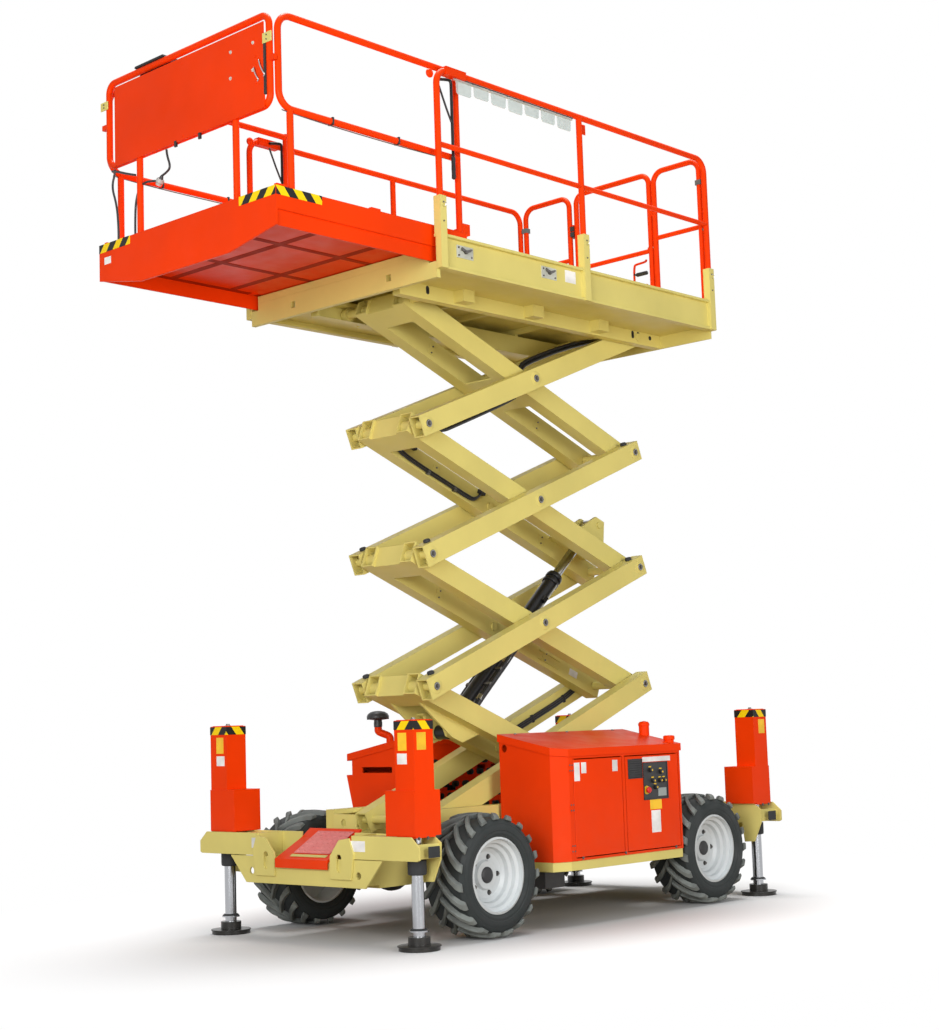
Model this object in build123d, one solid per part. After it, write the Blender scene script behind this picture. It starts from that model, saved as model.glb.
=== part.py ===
from build123d import *
import os
from math import cos, radians, sin, sqrt

os.makedirs("parts", exist_ok=True)

# ---------------------------------------------------------------- driving sizes (mm)
WHEEL_BASE = 2040.0
TYRE_R = 345.0
TYRE_W = 300.0
TYRE_OUT_Y = 872.0
RIM_R = 212.0
KING_Y = 520.0

ARM_L = 2130.0          # pin to pin
ARM_D = 130.0           # depth of the arm tube
ARM_ANGLE = 21.46       # degrees at the pose shown
PIN_REAR_X = -1060.0
PIN_BASE_Z = 631.0
STAGES = 4
OUT_Y0 = 231.0          # outer arm tube, inner face
OUT_Y1 = 321.0
IN_Y0 = 115.0           # inner arm tube, inner face
IN_Y1 = 215.0
ARM_WALL = 8.0
PIN_R = 26.0
SLEEVE_R = 38.0
RUN_OUT = 1.0           # running gap of a pin in its sleeve

DECK_X = 1320.0         # half length of the main deck
DECK_Y = 850.0
DECK_BOT = 3750.0
DECK_TOP = 3952.0
FLOOR_Z = 3880.0
CROSS_Z = 3836.0        # underside of the deck's cross-members
BEAM_Y = 360.0          # under-deck beams
BEAM_Z0 = 3702.0
RAIL_R = 19.0
RAIL_TOP = 4925.0
RAIL_MID = 4478.0
RAIL_Y = 834.0

EXT_X = 2480.0          # front face of the deck extension
EXT_BACK = 1030.0
EXT_Y = 785.0
EXT_TOP = 4010.0
EXT_FLOOR = 3898.0
EXT_RAIL_Y = 756.0
EXT_RAIL_TOP = 4968.0
EXT_RAIL_MID = 4455.0

HOOD_X0 = -675.0
HOOD_X1 = 510.0
HOOD_Y0 = 425.0
HOOD_Y1 = 868.0
HOOD_Z0 = 372.0         # on top of the side trays
HOOD_DOOR_Z = 962.0
FLARE_Y0 = 790.0        # engine hood, foot and top of its sloping side
FLARE_Y1 = 919.0
FLARE_Z = 879.0
SHEET = 12.0

JACK_X = 1586.0
JACK_Y = 788.0
JACK_TUBE = 148.0
JACK_TOP = 1216.0
PAD_R = 112.0

THETA = radians(ARM_ANGLE)
STEP = ARM_L * sin(THETA)
SPAN = ARM_L * cos(THETA)
PIN_FRONT_X = PIN_REAR_X + SPAN
MID_X = PIN_REAR_X + SPAN / 2
AXLE_X = WHEEL_BASE / 2


# ---------------------------------------------------------------- helpers
def block(x0, x1, y0, y1, z0, z1):
    return Pos((x0 + x1) / 2, (y0 + y1) / 2, (z0 + z1) / 2) * Box(abs(x1 - x0), abs(y1 - y0), abs(z1 - z0))


def rod_y(x, z, r, y0, y1):
    return Pos(x, (y0 + y1) / 2, z) * Rot(90, 0, 0) * Cylinder(r, abs(y1 - y0))


def rod_x(y, z, r, x0, x1):
    return Pos((x0 + x1) / 2, y, z) * Rot(0, 90, 0) * Cylinder(r, abs(x1 - x0))


def rod_z(x, y, r, z0, z1):
    return Pos(x, y, (z0 + z1) / 2) * Cylinder(r, abs(z1 - z0))


def pipe(points, r, bend):
    path = FilletPolyline(*points, radius=bend) if len(points) > 2 else Line(*points)
    return sweep(Plane(origin=path @ 0, z_dir=path % 0) * Circle(r), path=path)


def side_plate(outline, y0, y1):
    face = Plane.XZ * make_face(Polyline(*outline, close=True))
    return Pos(0, y1, 0) * extrude(face, y1 - y0)


def front_plate(outline, x0, x1):
    face = Plane.YZ * make_face(Polyline(*outline, close=True))
    return Pos(x0, 0, 0) * extrude(face, x1 - x0)


def plan_prism(outline, z0, z1):
    face = Plane.XY * make_face(Polyline(*outline, close=True))
    return Pos(0, 0, z0) * extrude(face, z1 - z0)


def save(name, shape):
    shape.label = name
    export_step(shape, os.path.join("parts", name + ".step"))


def both(shape):
    return shape + mirror(shape, about=Plane.XZ)


def flip(outline, s):
    return [(s * y, z) for y, z in outline]


def ring_y(x, y, outline):
    """A turned shape round a line along Y: outline is (radius, distance outwards)."""
    face = Plane.XY * make_face(Polyline(*outline, close=True))
    return Pos(x, y, TYRE_R) * revolve(face, Axis.Y)


# ---------------------------------------------------------------- scissor arms
def arm_tube(y0, y1):
    half = ARM_L / 2 + 58.0
    bar = block(-half, half, y0, y1, -ARM_D / 2, ARM_D / 2)
    for x in (-half, half):
        inside = ARM_D / 2 - ARM_WALL
        bar -= block(x - 118, x + 118, y0 + ARM_WALL, y1 - ARM_WALL, -inside, inside)
    return bar


def outer_arms(stage):
    half = ARM_L / 2
    side = arm_tube(OUT_Y0, OUT_Y1)
    side += rod_y(0, 0, PIN_R, IN_Y0 - 10, OUT_Y1 + 6)
    pair = both(side)
    ends = [half, -half]
    for x in ends:
        pair += rod_y(x, 0, PIN_R, -OUT_Y1 - 6, OUT_Y1 + 6)
    if stage == 1:
        for s in (-1, 1):
            pair += rod_y(half, 0, 42.0, s * (OUT_Y1 + 6), s * (OUT_Y1 + 44))
    if stage == STAGES:
        pair += rod_y(-half, 0, PIN_R, -BEAM_Y - 36, BEAM_Y + 36)
    return pair


def inner_arms(stage):
    half = ARM_L / 2
    side = arm_tube(IN_Y0, IN_Y1)
    sleeve_at = [0.0]
    if stage > 1:
        sleeve_at.append(-half)
    if stage < STAGES:
        sleeve_at.append(half)
    for x in sleeve_at:
        side += rod_y(x, 0, SLEEVE_R, IN_Y0, IN_Y1 + 4)
        side -= rod_y(x, 0, PIN_R + RUN_OUT, IN_Y0 - 20, IN_Y1 + 20)
    pair = both(side)
    pair += block(half - 150, half + 40, -IN_Y0 - 1, IN_Y0 + 1, ARM_D / 2 - 14, ARM_D / 2 - 2)
    pair += block(half - 135, half + 40, -IN_Y0 - 1, IN_Y0 + 1, -ARM_D / 2, -ARM_D / 2 + 10)
    pair += block(half + 29, half + 40, -IN_Y0 - 1, IN_Y0 + 1, -ARM_D / 2, ARM_D / 2 - 4)
    if stage == 1:
        pair += rod_y(-half, 0, PIN_R, -IN_Y1 - 34, IN_Y1 + 34)
        pair += cylinder_foot()
    if stage == 3:
        pair += cylinder_head()
    if stage == STAGES:
        pair += block(-200, 180, -IN_Y0 - 1, IN_Y0 + 1, -ARM_D / 2, -ARM_D / 2 + 10)
        for s in (-1, 1):
            pair += rod_y(half, 0, PIN_R, s * IN_Y0, s * (BEAM_Y - 24))
            pair += rod_y(half, 0, 42.0, s * (BEAM_Y - 24), s * (BEAM_Y + 16))
        # the top corner of the sliding end is cut back, to pass under the cross-members of the deck
        top = ARM_D / 2 + 1
        corner = [(half + 18, top), (half + 60, top), (half + 60, top - 42)]
        pair -= side_plate(corner, -IN_Y1 - 1, IN_Y1 + 1)
    return pair


def in_arm(stage, x, z):
    """A point of the pose shown, in the lying inner arm of a stage."""
    cz = PIN_BASE_Z + (stage - 0.5) * STEP
    dx, dz = x - MID_X, z - cz
    return (dx * cos(THETA) + dz * sin(THETA), -dx * sin(THETA) + dz * cos(THETA))


CYL_FOOT = (536.0, 1138.0)
CYL_HEAD = (-947.0, 2488.0)
CYL_R = 46.0
CYL_ROD_R = 31.0


def cylinder_foot():
    px, pz = in_arm(1, *CYL_FOOT)
    low = -ARM_D / 2 + 4
    big = [(1000, low), (px + 50, pz - 53), (px - 46, pz - 53), (px - 176, low)]
    small = [(px - 150, low + 16), (px - 40, pz - 42), (px + 40, pz - 42), (px + 150, low + 16)]
    hanger = side_plate(big, IN_Y0, IN_Y0 + 14)
    cheek = side_plate(small, 56, 76)
    cheek += block(px - 150, px + 150, 56, IN_Y0 + 1, low + 4, low + 16)
    return both(hanger + cheek) + rod_y(px, pz, 22.0, -IN_Y0 - 6, IN_Y0 + 6)


def cylinder_head():
    px, pz = in_arm(3, *CYL_HEAD)
    seat = ARM_D / 2 - 20
    cheek = side_plate([(px - 110, seat), (px - 45, pz + 44), (px + 45, pz + 44), (px + 260, seat)], 56, 76)
    cheek += block(px - 110, px + 260, 56, IN_Y0 + 1, seat, seat + 12)
    cheek += rod_y(px, pz, 22.0, 50, 84)
    return both(cheek)


for stage in range(1, STAGES + 1):
    centre = Pos(MID_X, 0, PIN_BASE_Z + (stage - 0.5) * STEP)
    save(f"outer_arms_{stage}", centre * Rot(0, ARM_ANGLE, 0) * outer_arms(stage))
    save(f"inner_arms_{stage}", centre * Rot(0, -ARM_ANGLE, 0) * inner_arms(stage))

# ---------------------------------------------------------------- lift cylinder
dx = CYL_HEAD[0] - CYL_FOOT[0]
dz = CYL_HEAD[1] - CYL_FOOT[1]
CYL_LEN = sqrt(dx * dx + dz * dz)
CYL_PLANE = Plane(origin=(CYL_FOOT[0], 0, CYL_FOOT[1]), x_dir=(0, 1, 0), z_dir=(dx, 0, dz))
BARREL_LEN = 1480.0


def eye(at):
    ring = Pos(0, 0, at) * Rot(0, 90, 0) * (Cylinder(44, 96) - Cylinder(23, 98))
    return ring


barrel = eye(0)
barrel += Pos(0, 0, (40 + BARREL_LEN) / 2) * Cylinder(CYL_R, BARREL_LEN - 40)
barrel -= Pos(0, 0, 90 + BARREL_LEN / 2) * Cylinder(CYL_ROD_R + 4, BARREL_LEN)
barrel += Pos(0, 0, BARREL_LEN - 15) * (Cylinder(CYL_R + 6, 30) - Cylinder(CYL_ROD_R + 0.6, 31))
barrel -= Rot(0, 90, 0) * Cylinder(23, 98)
save("lift_cylinder_barrel", CYL_PLANE * barrel)
rod = Pos(0, 0, CYL_LEN) * Rot(0, 90, 0) * Cylinder(44, 96)
rod += Pos(0, 0, (500 + CYL_LEN - 40) / 2) * Cylinder(CYL_ROD_R, CYL_LEN - 40 - 500)
save("lift_cylinder_rod", CYL_PLANE * rod)

# ---------------------------------------------------------------- chassis
frame = both(block(-1500, 1500, 332, 402, 300, 560))
# cross-members: x from, x to, top
for x0, x1, z1 in ((-1500, -1380, 560), (-620, -480, 420), (380, 520, 420), (1380, 1500, 560)):
    frame += block(x0, x1, -340, 340, 300, z1)
frame += block(-1380, 1380, -340, 340, 300, 312)
slot_x1 = PIN_REAR_X + ARM_L + 90
track = block(-40, slot_x1, 330, 402, 560, 702)
track -= block(-60, slot_x1 - 20, 320, 378, 587, 675)
frame += both(track)
lug = side_plate([(-1180, 550), (-1120, 690), (-1000, 690), (-900, 550)], IN_Y1 + 8, IN_Y1 + 32)
lug += block(-1180, -900, IN_Y1 + 8, 340, 540, 560)
frame += both(lug)
frame -= rod_y(PIN_REAR_X, PIN_BASE_Z, PIN_R + RUN_OUT, -400, 400)
TRAY = [(HOOD_X0, 401), (HOOD_X1, 401), (HOOD_X1, 814), (398, HOOD_Y1 - 6), (HOOD_X0, HOOD_Y1 - 6)]
TRAY_IN = [(HOOD_X0 + 12, 380), (HOOD_X1 - 12, 380), (HOOD_X1 - 12, 806)]
TRAY_IN += [(395, HOOD_Y1 - 18), (HOOD_X0 + 12, HOOD_Y1 - 18)]
side_tray = plan_prism(TRAY, 318, HOOD_Z0) - plan_prism(TRAY_IN, 328, HOOD_Z0 + 1)
frame += side_tray + plan_prism([(x, -min(y, 786)) for x, y in reversed(TRAY)], 318, 328)
far_wall = [(HOOD_X0, -776), (HOOD_X1, -776), (HOOD_X1, -788), (HOOD_X0, -788)]
frame += plan_prism(far_wall, 318, HOOD_Z0)
for x in (HOOD_X0, HOOD_X1 - 12):
    frame += block(x, x + 12, -400, -788, 318, HOOD_Z0)
frame += both(block(-1180, 1260, 332, 402, 558, 586))
frame += block(1345, 1357, -120, 66, 306, 690) - rod_x(-33, 640, 22, 1340, 1360)
frame -= block(AXLE_X - 60, AXLE_X + 60, -450, 450, 314, 420)
frame -= block(-AXLE_X - 60, -AXLE_X + 60, -450, 450, 290, 400)
frame -= rod_y(-AXLE_X, TYRE_R, 90, -450, 450)
save("chassis_frame", frame)

ARM_FACE = [(402, 600), (859, 600), (921, 546), (921, 482), (905, 474), (402, 474)]
BACK_FACE = [(402, 600), (836, 600), (893, 560), (889, 474), (830, 353), (756, 350), (740, 474), (402, 474)]
TIE_PLATE = [(235, 362), (235, 487), (310, 575), (390, 587), (425, 500), (400, 362)]
for name, sx in (("front", 1), ("rear", -1)):
    beam = both(block(sx * 1512, sx * 1690, 402, 706, 480, 592))
    beam += front_plate([(-500, 318), (500, 318), (640, 470), (-640, 470)], *sorted((sx * 1688, sx * 1700)))
    beam += both(block(sx * 1500, sx * 1689, 390, 402, 318, 600))
    beam += block(sx * 1500, sx * 1690, -392, 392, 430, 442)
    beam += block(sx * 1500, sx * 1512, -392, 392, 440, 600)
    for s in (-1, 1):
        beam += front_plate(flip(ARM_FACE, s), *sorted((sx * 1690, sx * 1702)))
        beam += front_plate(flip(BACK_FACE, s), *sorted((sx * 1500, sx * 1512)))
        beam += block(sx * 1512, sx * 1690, s * 870, s * 882, 482, 560)
        beam -= rod_x(s * 450, 385, 20, sx * 1680, sx * 1710)
        tie = front_plate(flip(TIE_PLATE, s), *sorted((sx * 1702, sx * 1714)))
        tie -= rod_x(s * 308, 478, 20, sx * 1700, sx * 1716) + rod_x(s * 308, 420, 20, sx * 1700, sx * 1716)
        tie -= block(sx * 1700, sx * 1716, s * 288, s * 328, 420, 478)
        beam += tie + block(sx * 1698, sx * 1703, s * 240, s * 400, 364, 440)
    if sx == 1:
        beam -= block(1686, 1701, -224, 224, 454, 480) + block(1499, 1513, -224, 224, 555.5, 601)
    save(f"{name}_outrigger_beam", beam)
    covers = None
    for s in (-1, 1):
        jx, jy = sx * JACK_X, s * JACK_Y
        h = JACK_TUBE / 2
        cover = block(jx - h, jx + h, jy - h, jy + h, 592, JACK_TOP)
        cover += block(sx * 1470, sx * 1668, s * 640, s * 862, 600, 842)
        cover -= block(jx - h + 8, jx + h - 8, jy - h + 8, jy + h - 8, 612, JACK_TOP - 8)
        cover -= rod_z(jx, jy, 34 + RUN_OUT, 580, 620)
        covers = cover if covers is None else covers + cover
    save(f"{name}_jack_housings", covers)
STEP_TRAY = [(1722, 462), (1722, 412), (1716, 412), (1716, 446)]
STEP_TRAY += [(1512, 556), (1452, 606), (1452, 616), (1516, 568)]
save("front_step_tray", side_plate(STEP_TRAY, -219, 219))
# entry steps at the rear
STEP_RAIL = [(-1700, 360), (-1742, 300), (-1800, 300), (-1800, 340), (-1742, 1020), (-1700, 1020)]
steps = both(side_plate(STEP_RAIL, 195, 205))
for x, z in ((-1770, 310), (-1752, 620), (-1735, 930)):
    steps += block(x - 28, x + 28, -198, 198, z, z + 24)
save("rear_steps", steps)

# jacks
for name, sx, s in (("fl", 1, 1), ("fr", 1, -1), ("rl", -1, 1), ("rr", -1, -1)):
    jx, jy = sx * JACK_X, s * JACK_Y
    leg = rod_z(jx, jy, 34, 70, 900)
    leg += rod_z(jx, jy, 52, 96, 104)
    save(f"jack_leg_{name}", leg)
    pad = rod_z(jx, jy, PAD_R, 0, 26) + rod_z(jx, jy, 60, 26, 70)
    save(f"jack_pad_{name}", pad)

# ---------------------------------------------------------------- axles and wheels
front_axle = block(AXLE_X - 60, AXLE_X + 60, -430, 430, 314, 420)
fork = block(AXLE_X - 35, AXLE_X + 35, 420, 560, 400, 420)
fork += block(AXLE_X - 35, AXLE_X + 35, 420, 560, 280, 300)
fork += block(AXLE_X - 35, AXLE_X + 35, 420, 440, 280, 420)
save("front_axle", front_axle + both(fork))
rear_axle = block(-AXLE_X - 60, -AXLE_X + 60, -440, 440, 290, 400)
rear_axle += rod_y(-AXLE_X, TYRE_R, 90, -604, 604)
rear_axle += rod_y(-AXLE_X, TYRE_R, 28, -700, 700)
save("rear_axle", rear_axle)
for name, s in (("left", 1), ("right", -1)):
    knuckle = rod_z(AXLE_X, s * KING_Y, 34, 305, 395)
    knuckle += rod_y(AXLE_X, TYRE_R, 40, s * KING_Y, s * 604)
    knuckle += rod_y(AXLE_X, TYRE_R, 28, s * 600, s * 700)
    save(f"steering_knuckle_{name}", knuckle)

W = TYRE_W
TYRE_OUTLINE = [(RIM_R, 14), (RIM_R + 30, 0), (RIM_R + 90, 2), (TYRE_R - 16, 16), (TYRE_R, 42)]
TYRE_OUTLINE += [(r, W - d) for r, d in reversed(TYRE_OUTLINE)]
# seat, lip, three steps inwards, hub face, back
RIM_OUTLINE = [(RIM_R, 16), (RIM_R, W - 16), (RIM_R - 12, W - 12), (RIM_R - 14, W - 42)]
RIM_OUTLINE += [(RIM_R - 34, W - 50), (RIM_R - 38, W - 74), (RIM_R - 58, W - 82)]
RIM_OUTLINE += [(RIM_R - 64, W - 106), (RIM_R - 84, W - 120), (84, W - 124), (76, W - 104)]
RIM_OUTLINE += [(44, W - 104), (44, W - 142), (RIM_R - 20, W - 142), (RIM_R - 14, 20), (RIM_R - 10, 12)]
for name, x, s in (("fl", AXLE_X, 1), ("fr", AXLE_X, -1), ("rl", -AXLE_X, 1), ("rr", -AXLE_X, -1)):
    y_in = s * (TYRE_OUT_Y - TYRE_W)
    tyre = ring_y(x, y_in, [(r, s * d) for r, d in TYRE_OUTLINE])
    save(f"tyre_{name}", tyre)
    rim = ring_y(x, y_in, [(r, s * d) for r, d in RIM_OUTLINE])
    rim += rod_y(x, TYRE_R, 75, s * 714, s * 768)
    rim += rod_y(x, TYRE_R, 80, s * 604, s * 731)
    rim -= rod_y(x, TYRE_R, 28 + RUN_OUT, s * 600, s * 701)
    for k in range(5):
        a = radians(72 * k + 36)
        rim -= rod_y(x + 104 * cos(a), TYRE_R + 104 * sin(a), 15, s * 700, s * 800)
    save(f"wheel_rim_{name}", rim)

# ---------------------------------------------------------------- hoods
SLOPE = {1: 0.2113, -1: 0.181}          # fall of each lid outwards
LID_TOP = {1: 1117.0, -1: 1102.0}
LID_OUT = {1: 876.0, -1: 903.0}
SIDE = {1: [(HOOD_Y1, HOOD_Z0)], -1: [(FLARE_Y0, HOOD_Z0), (FLARE_Y1, FLARE_Z), (865.0, FLARE_Z)]}
FLARE_IN = [(FLARE_Y0 - 10, HOOD_Z0 + SHEET), (FLARE_Y1 - 26, FLARE_Z - 12), (853.0, FLARE_Z - 12)]
SIDE_IN = {1: [(HOOD_Y1 - SHEET, HOOD_Z0 + SHEET)], -1: FLARE_IN}
DOOR_TILT = {1: 0.0, -1: 14.274}
DOOR_LINE = {1: (HOOD_Y1, HOOD_Z0), -1: (FLARE_Y0, HOOD_Z0)}
DOOR_HIGH = {1: HOOD_DOOR_Z - HOOD_Z0, -1: 500.0}
FRONT_IN = {1: [(HOOD_X1, 820.0), (400.0, HOOD_Y1)], -1: [(HOOD_X1, 940.0)]}


def lid_z(y, s, drop):
    return LID_TOP[s] - SLOPE[s] * (y - 417) - drop


def on_wall(shape, s):
    """Lay a shape drawn against a wall at y 0 and z 0 on the outer wall of a hood."""
    y, z = DOOR_LINE[s]
    return Pos(0, s * y, z) * Rot(DOOR_TILT[s], 0, 0) * shape


def hood_plan(s, grow, grow_y):
    """The outline of a hood from above, larger by a margin, its outer corner cut at the front."""
    cut = FRONT_IN[s]
    front = [(HOOD_X0 - grow, 0), (HOOD_X1 + grow, 0)] + [(x + grow, y + grow_y) for x, y in cut]
    outline = front + [(HOOD_X0 - grow, cut[-1][1] + grow_y)]
    return plan_prism([(x, s * y) for x, y in outline], 0, 1300)


# doors: name, x from, x to, x of the hinge pin
DOORS = (("front", -98, 363, 352), ("rear", -660, -122, -649))

for name, s in (("left", 1), ("right", -1)):
    edge = SIDE[s][-1][0]
    high = DOOR_HIGH[s]
    body = [(HOOD_Y0, HOOD_Z0)] + SIDE[s] + [(edge, lid_z(edge, s, 10)), (HOOD_Y0, lid_z(HOOD_Y0, s, 10))]
    room = [(HOOD_Y0 + SHEET, HOOD_Z0 + SHEET)] + SIDE_IN[s]
    room += [(edge - SHEET, 1200), (HOOD_Y0 + SHEET, 1200)]
    shell = front_plate(flip(body, s), HOOD_X0, HOOD_X1) & hood_plan(s, 0, 0)
    shell -= front_plate(flip(room, s), HOOD_X0, HOOD_X1) & hood_plan(s, -SHEET, -5 * (s + 1) / 2)
    for door, x0, x1, pin in DOORS:
        shell -= on_wall(block(x0, x1, -s * 30, s * 20, 14, high), s)
    shell += block(-116, -104, s * (HOOD_Y0 + 2), s * (SIDE_IN[s][0][0] - 12), HOOD_Z0 + 4, 930)
    shell += block(HOOD_X0 + 60, HOOD_X1 - 60, s * 402, s * (HOOD_Y0 + 2), 380, 420)
    for door, x0, x1, pin in DOORS:
        stub = rod_z(pin, -s * SHEET / 2, 4, 13, 19.6) + rod_z(pin, -s * SHEET / 2, 4, high - 5.6, high + 1)
        shell += on_wall(stub, s)
    if s == 1:
        shell -= rod_x(464, 1030, 22, HOOD_X1 - 20, HOOD_X1 + 10)
    else:
        shell -= block(HOOD_X1 - 20, HOOD_X1 + 10, -773, -497, 892, 928)
        for z in (640, 760, 880):
            for x in range(-560, 420, 140):
                shell -= block(x, x + 90, s * (HOOD_Y0 - 5), s * (HOOD_Y0 + SHEET + 5), z, z + 34)
    save(f"hood_{name}", shell)
    out = LID_OUT[s]
    cap = [(417, lid_z(417, s, 45)), (417, lid_z(417, s, 0))]
    cap += [(out, lid_z(out, s, 0)), (out, lid_z(out, s, 45))]
    under = [(421, 900), (421, lid_z(421, s, 10)), (out - 4, lid_z(out - 4, s, 10)), (out - 4, 900)]
    lid = front_plate(flip(cap, s), HOOD_X0 - 8, HOOD_X1 + 8) & hood_plan(s, 8, 8)
    lid -= front_plate(flip(under, s), HOOD_X0 - 4, HOOD_X1 + 4) & hood_plan(s, 4, 3)
    save(f"hood_lid_{name}", lid)
    for door, x0, x1, pin in DOORS:
        # a leaf runs from its hinge pin to 6 short of the far jamb
        ends = (x0 + 6, pin) if door == "front" else (pin, x1 - 6)
        leaf = block(*ends, -s * SHEET, 0, 20, high - 6)
        leaf += rod_z(pin, -s * SHEET / 2, SHEET / 2, 20, high - 6)
        save(f"hood_door_{name}_{door}", on_wall(leaf, s))
save("engine_block", block(-60, 420, -480, -760, HOOD_Z0 + SHEET, 820))
intake = pipe([(400, -620, 1000), (400, -620, 1110), (436, -690, 1150), (436, -690, 1230)], 24, 30)
intake += rod_z(436, -690, 68, 1225, 1285)
below_lid = [(-300, 900), (-300, lid_z(300, -1, 0)), (-900, lid_z(900, -1, 0)), (-900, 900)]
intake -= front_plate(below_lid, 200, 600)
save("air_intake", intake)

# ---------------------------------------------------------------- platform
TOP_PIN_Z = PIN_BASE_Z + STAGES * STEP
deck = both(block(-DECK_X, DECK_X, 812, 826, DECK_BOT, DECK_TOP))
deck += both(block(-DECK_X, DECK_X, 800, DECK_Y, DECK_TOP - 16, DECK_TOP))
deck += both(block(-DECK_X, DECK_X, 800, DECK_Y, DECK_BOT, DECK_BOT + 16))
deck += both(block(-DECK_X + 11, DECK_X - 29, BEAM_Y + 30, 813, 3788, 3794))
for x in (-650, 0, 640):
    deck += both(block(x, x + 100, BEAM_Y + 30, BEAM_Y + 110, 3715, 3790))
deck += block(DECK_X - 30, DECK_X, -813, 813, 3700, 3793)
deck += block(DECK_X - 30, DECK_X, -750, 750, 3700, CROSS_Z)
deck += block(-DECK_X, -DECK_X + 12, -813, 813, 3700, DECK_TOP)
deck -= both(block(DECK_X - 50, DECK_X + 10, BEAM_Y + 40, BEAM_Y + 80, 3750, 3790))
for x in (1298, 25, -1290):
    for s in (-1, 1):
        post = block(x - 26, x + 26, s * (RAIL_Y - 26), s * (RAIL_Y + 26), DECK_TOP - 4, 4170)
        post += block(x - 26, x + 26, s * 824, s * (RAIL_Y + 26), DECK_BOT, DECK_TOP)
        deck += post - rod_z(x, s * RAIL_Y, RAIL_R + RUN_OUT, DECK_TOP + 4, 4200)
save("platform_frame", deck)
beams = both(block(-DECK_X + 12, 1200, BEAM_Y - 30, BEAM_Y + 30, BEAM_Z0, 3822))
beams -= both(block(-30, 1180, BEAM_Y - 32, BEAM_Y + 20, TOP_PIN_Z - 43, TOP_PIN_Z + 43))
beams -= rod_y(PIN_REAR_X, TOP_PIN_Z, PIN_R + RUN_OUT, -450, 450)
save("platform_beams", beams)
deck_floor = block(-DECK_X + 12, DECK_X, -750, 750, FLOOR_Z - 8, FLOOR_Z)
for x in (-1308, -660, -70, 300, 760, 1120, DECK_X - 30):
    deck_floor += block(x, x + 30, -750, 750, CROSS_Z, FLOOR_Z - 7)
for x in (-1308, -660, -70, 300, 760, 1120):
    deck_floor += both(block(x, x + 30, 700, 750, 3794, CROSS_Z + 4))
    deck_floor += both(block(x, x + 30, BEAM_Y - 20, BEAM_Y + 20, 3822, CROSS_Z + 4))
save("platform_floor", deck_floor)

for name, s in (("left", 1), ("right", -1)):
    y = s * RAIL_Y
    foot = DECK_TOP + 4
    loop = pipe([(1298, y, foot), (1298, y, RAIL_TOP), (-1290, y, RAIL_TOP), (-1290, y, foot)], RAIL_R, 90)
    loop += rod_x(y, RAIL_MID, RAIL_R - 3, -1290, 1298)
    loop += rod_z(25, y, RAIL_R, DECK_TOP + 4, RAIL_TOP)
    save(f"main_rail_{name}", loop)
GATE_TOP = RAIL_TOP + 20
rear_rails = None
for y0, y1 in ((-786, -366), (400, 786)):
    hoop = [(-1301, y0, DECK_TOP), (-1301, y0, GATE_TOP), (-1301, y1, GATE_TOP), (-1301, y1, DECK_TOP)]
    arch = pipe(hoop, RAIL_R, 80)
    arch += rod_y(-1301, RAIL_MID, RAIL_R - 3, y0, y1)
    rear_rails = arch if rear_rails is None else rear_rails + arch
for z in (4080, 4700):
    rear_rails += rod_z(-1301, -332, 12, z - 30, z - 1) + block(-1307, -1295, -366, -332, z - 30, z - 1)
    rear_rails += rod_z(-1301, -332, 7, z - 30, z + 28)
for s in (-1, 1):
    rear_rails += block(-1307, -1291, min(s * 796, s * 815), max(s * 796, s * 815), 4500, 4520)
save("rear_rails", rear_rails)
gate = rod_y(-1301, 4400, RAIL_R - 3, -300, 358)
for y in (-300, 358):
    hoop = [(-1301, 29, 3980), (-1301, y, 3980), (-1301, y, GATE_TOP), (-1301, 29, GATE_TOP)]
    gate += pipe(hoop, RAIL_R, 70)
for z in (4080, 4700):
    gate += rod_z(-1301, -332, 12, z, z + 30) + block(-1307, -1295, -332, -300, z, z + 30)
    gate -= rod_z(-1301, -332, 7.5, z - 5, z + 35)
save("rear_gate", gate)

ext = block(EXT_BACK, EXT_X - 12, -766, 766, EXT_FLOOR - 12, EXT_FLOOR)
for s in (-1, 1):
    ext += block(EXT_BACK, EXT_X - 12, s * 765, s * 775, 3799, EXT_FLOOR)
    ext += block(EXT_BACK, EXT_X - 12, s * 775, s * EXT_Y, 3885, EXT_TOP)
EXT_FACE = [(-EXT_Y, EXT_TOP), (EXT_Y, EXT_TOP), (EXT_Y, 3799), (390, 3726), (-390, 3726), (-EXT_Y, 3799)]
ext += front_plate(EXT_FACE, EXT_X - 12, EXT_X)
for x in (EXT_BACK, 1360):
    ext += both(block(x, x + 40, 700, 746, FLOOR_Z + 0.5, EXT_FLOOR - 10))
save("extension_deck", ext)
for name, s in (("left", 1), ("right", -1)):
    y = s * EXT_RAIL_Y
    hoop = [(1060, y, EXT_RAIL_TOP), (2420, y, EXT_RAIL_TOP)]
    hoop += [(2420, y, EXT_RAIL_MID), (1060, y, EXT_RAIL_MID)]
    loop = pipe(hoop, RAIL_R, 90)
    loop += rod_z(1060, y, RAIL_R, EXT_FLOOR, EXT_RAIL_TOP + RAIL_R)
    loop += rod_z(2345, y, RAIL_R, EXT_FLOOR, EXT_RAIL_MID)
    save(f"extension_rail_{name}", loop)
front = None
for y in (-720, 720):
    hoop = [(2446, 0, 4470), (2446, y, 4470), (2446, y, EXT_RAIL_TOP), (2446, 0, EXT_RAIL_TOP)]
    half = pipe(hoop, RAIL_R, 60)
    front = half if front is None else front + half
for y in (-430, 430):
    front += rod_z(2446, y, RAIL_R, EXT_FLOOR, 4470)
for y in (-1, 1):
    front += block(2439, 2462, min(y * 730, y * 772), max(y * 730, y * 772), 4700, 4730)
save("extension_front_rail", front)
save("front_panel", block(2465, 2471, -636, 700, 4452, 4925))
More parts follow.
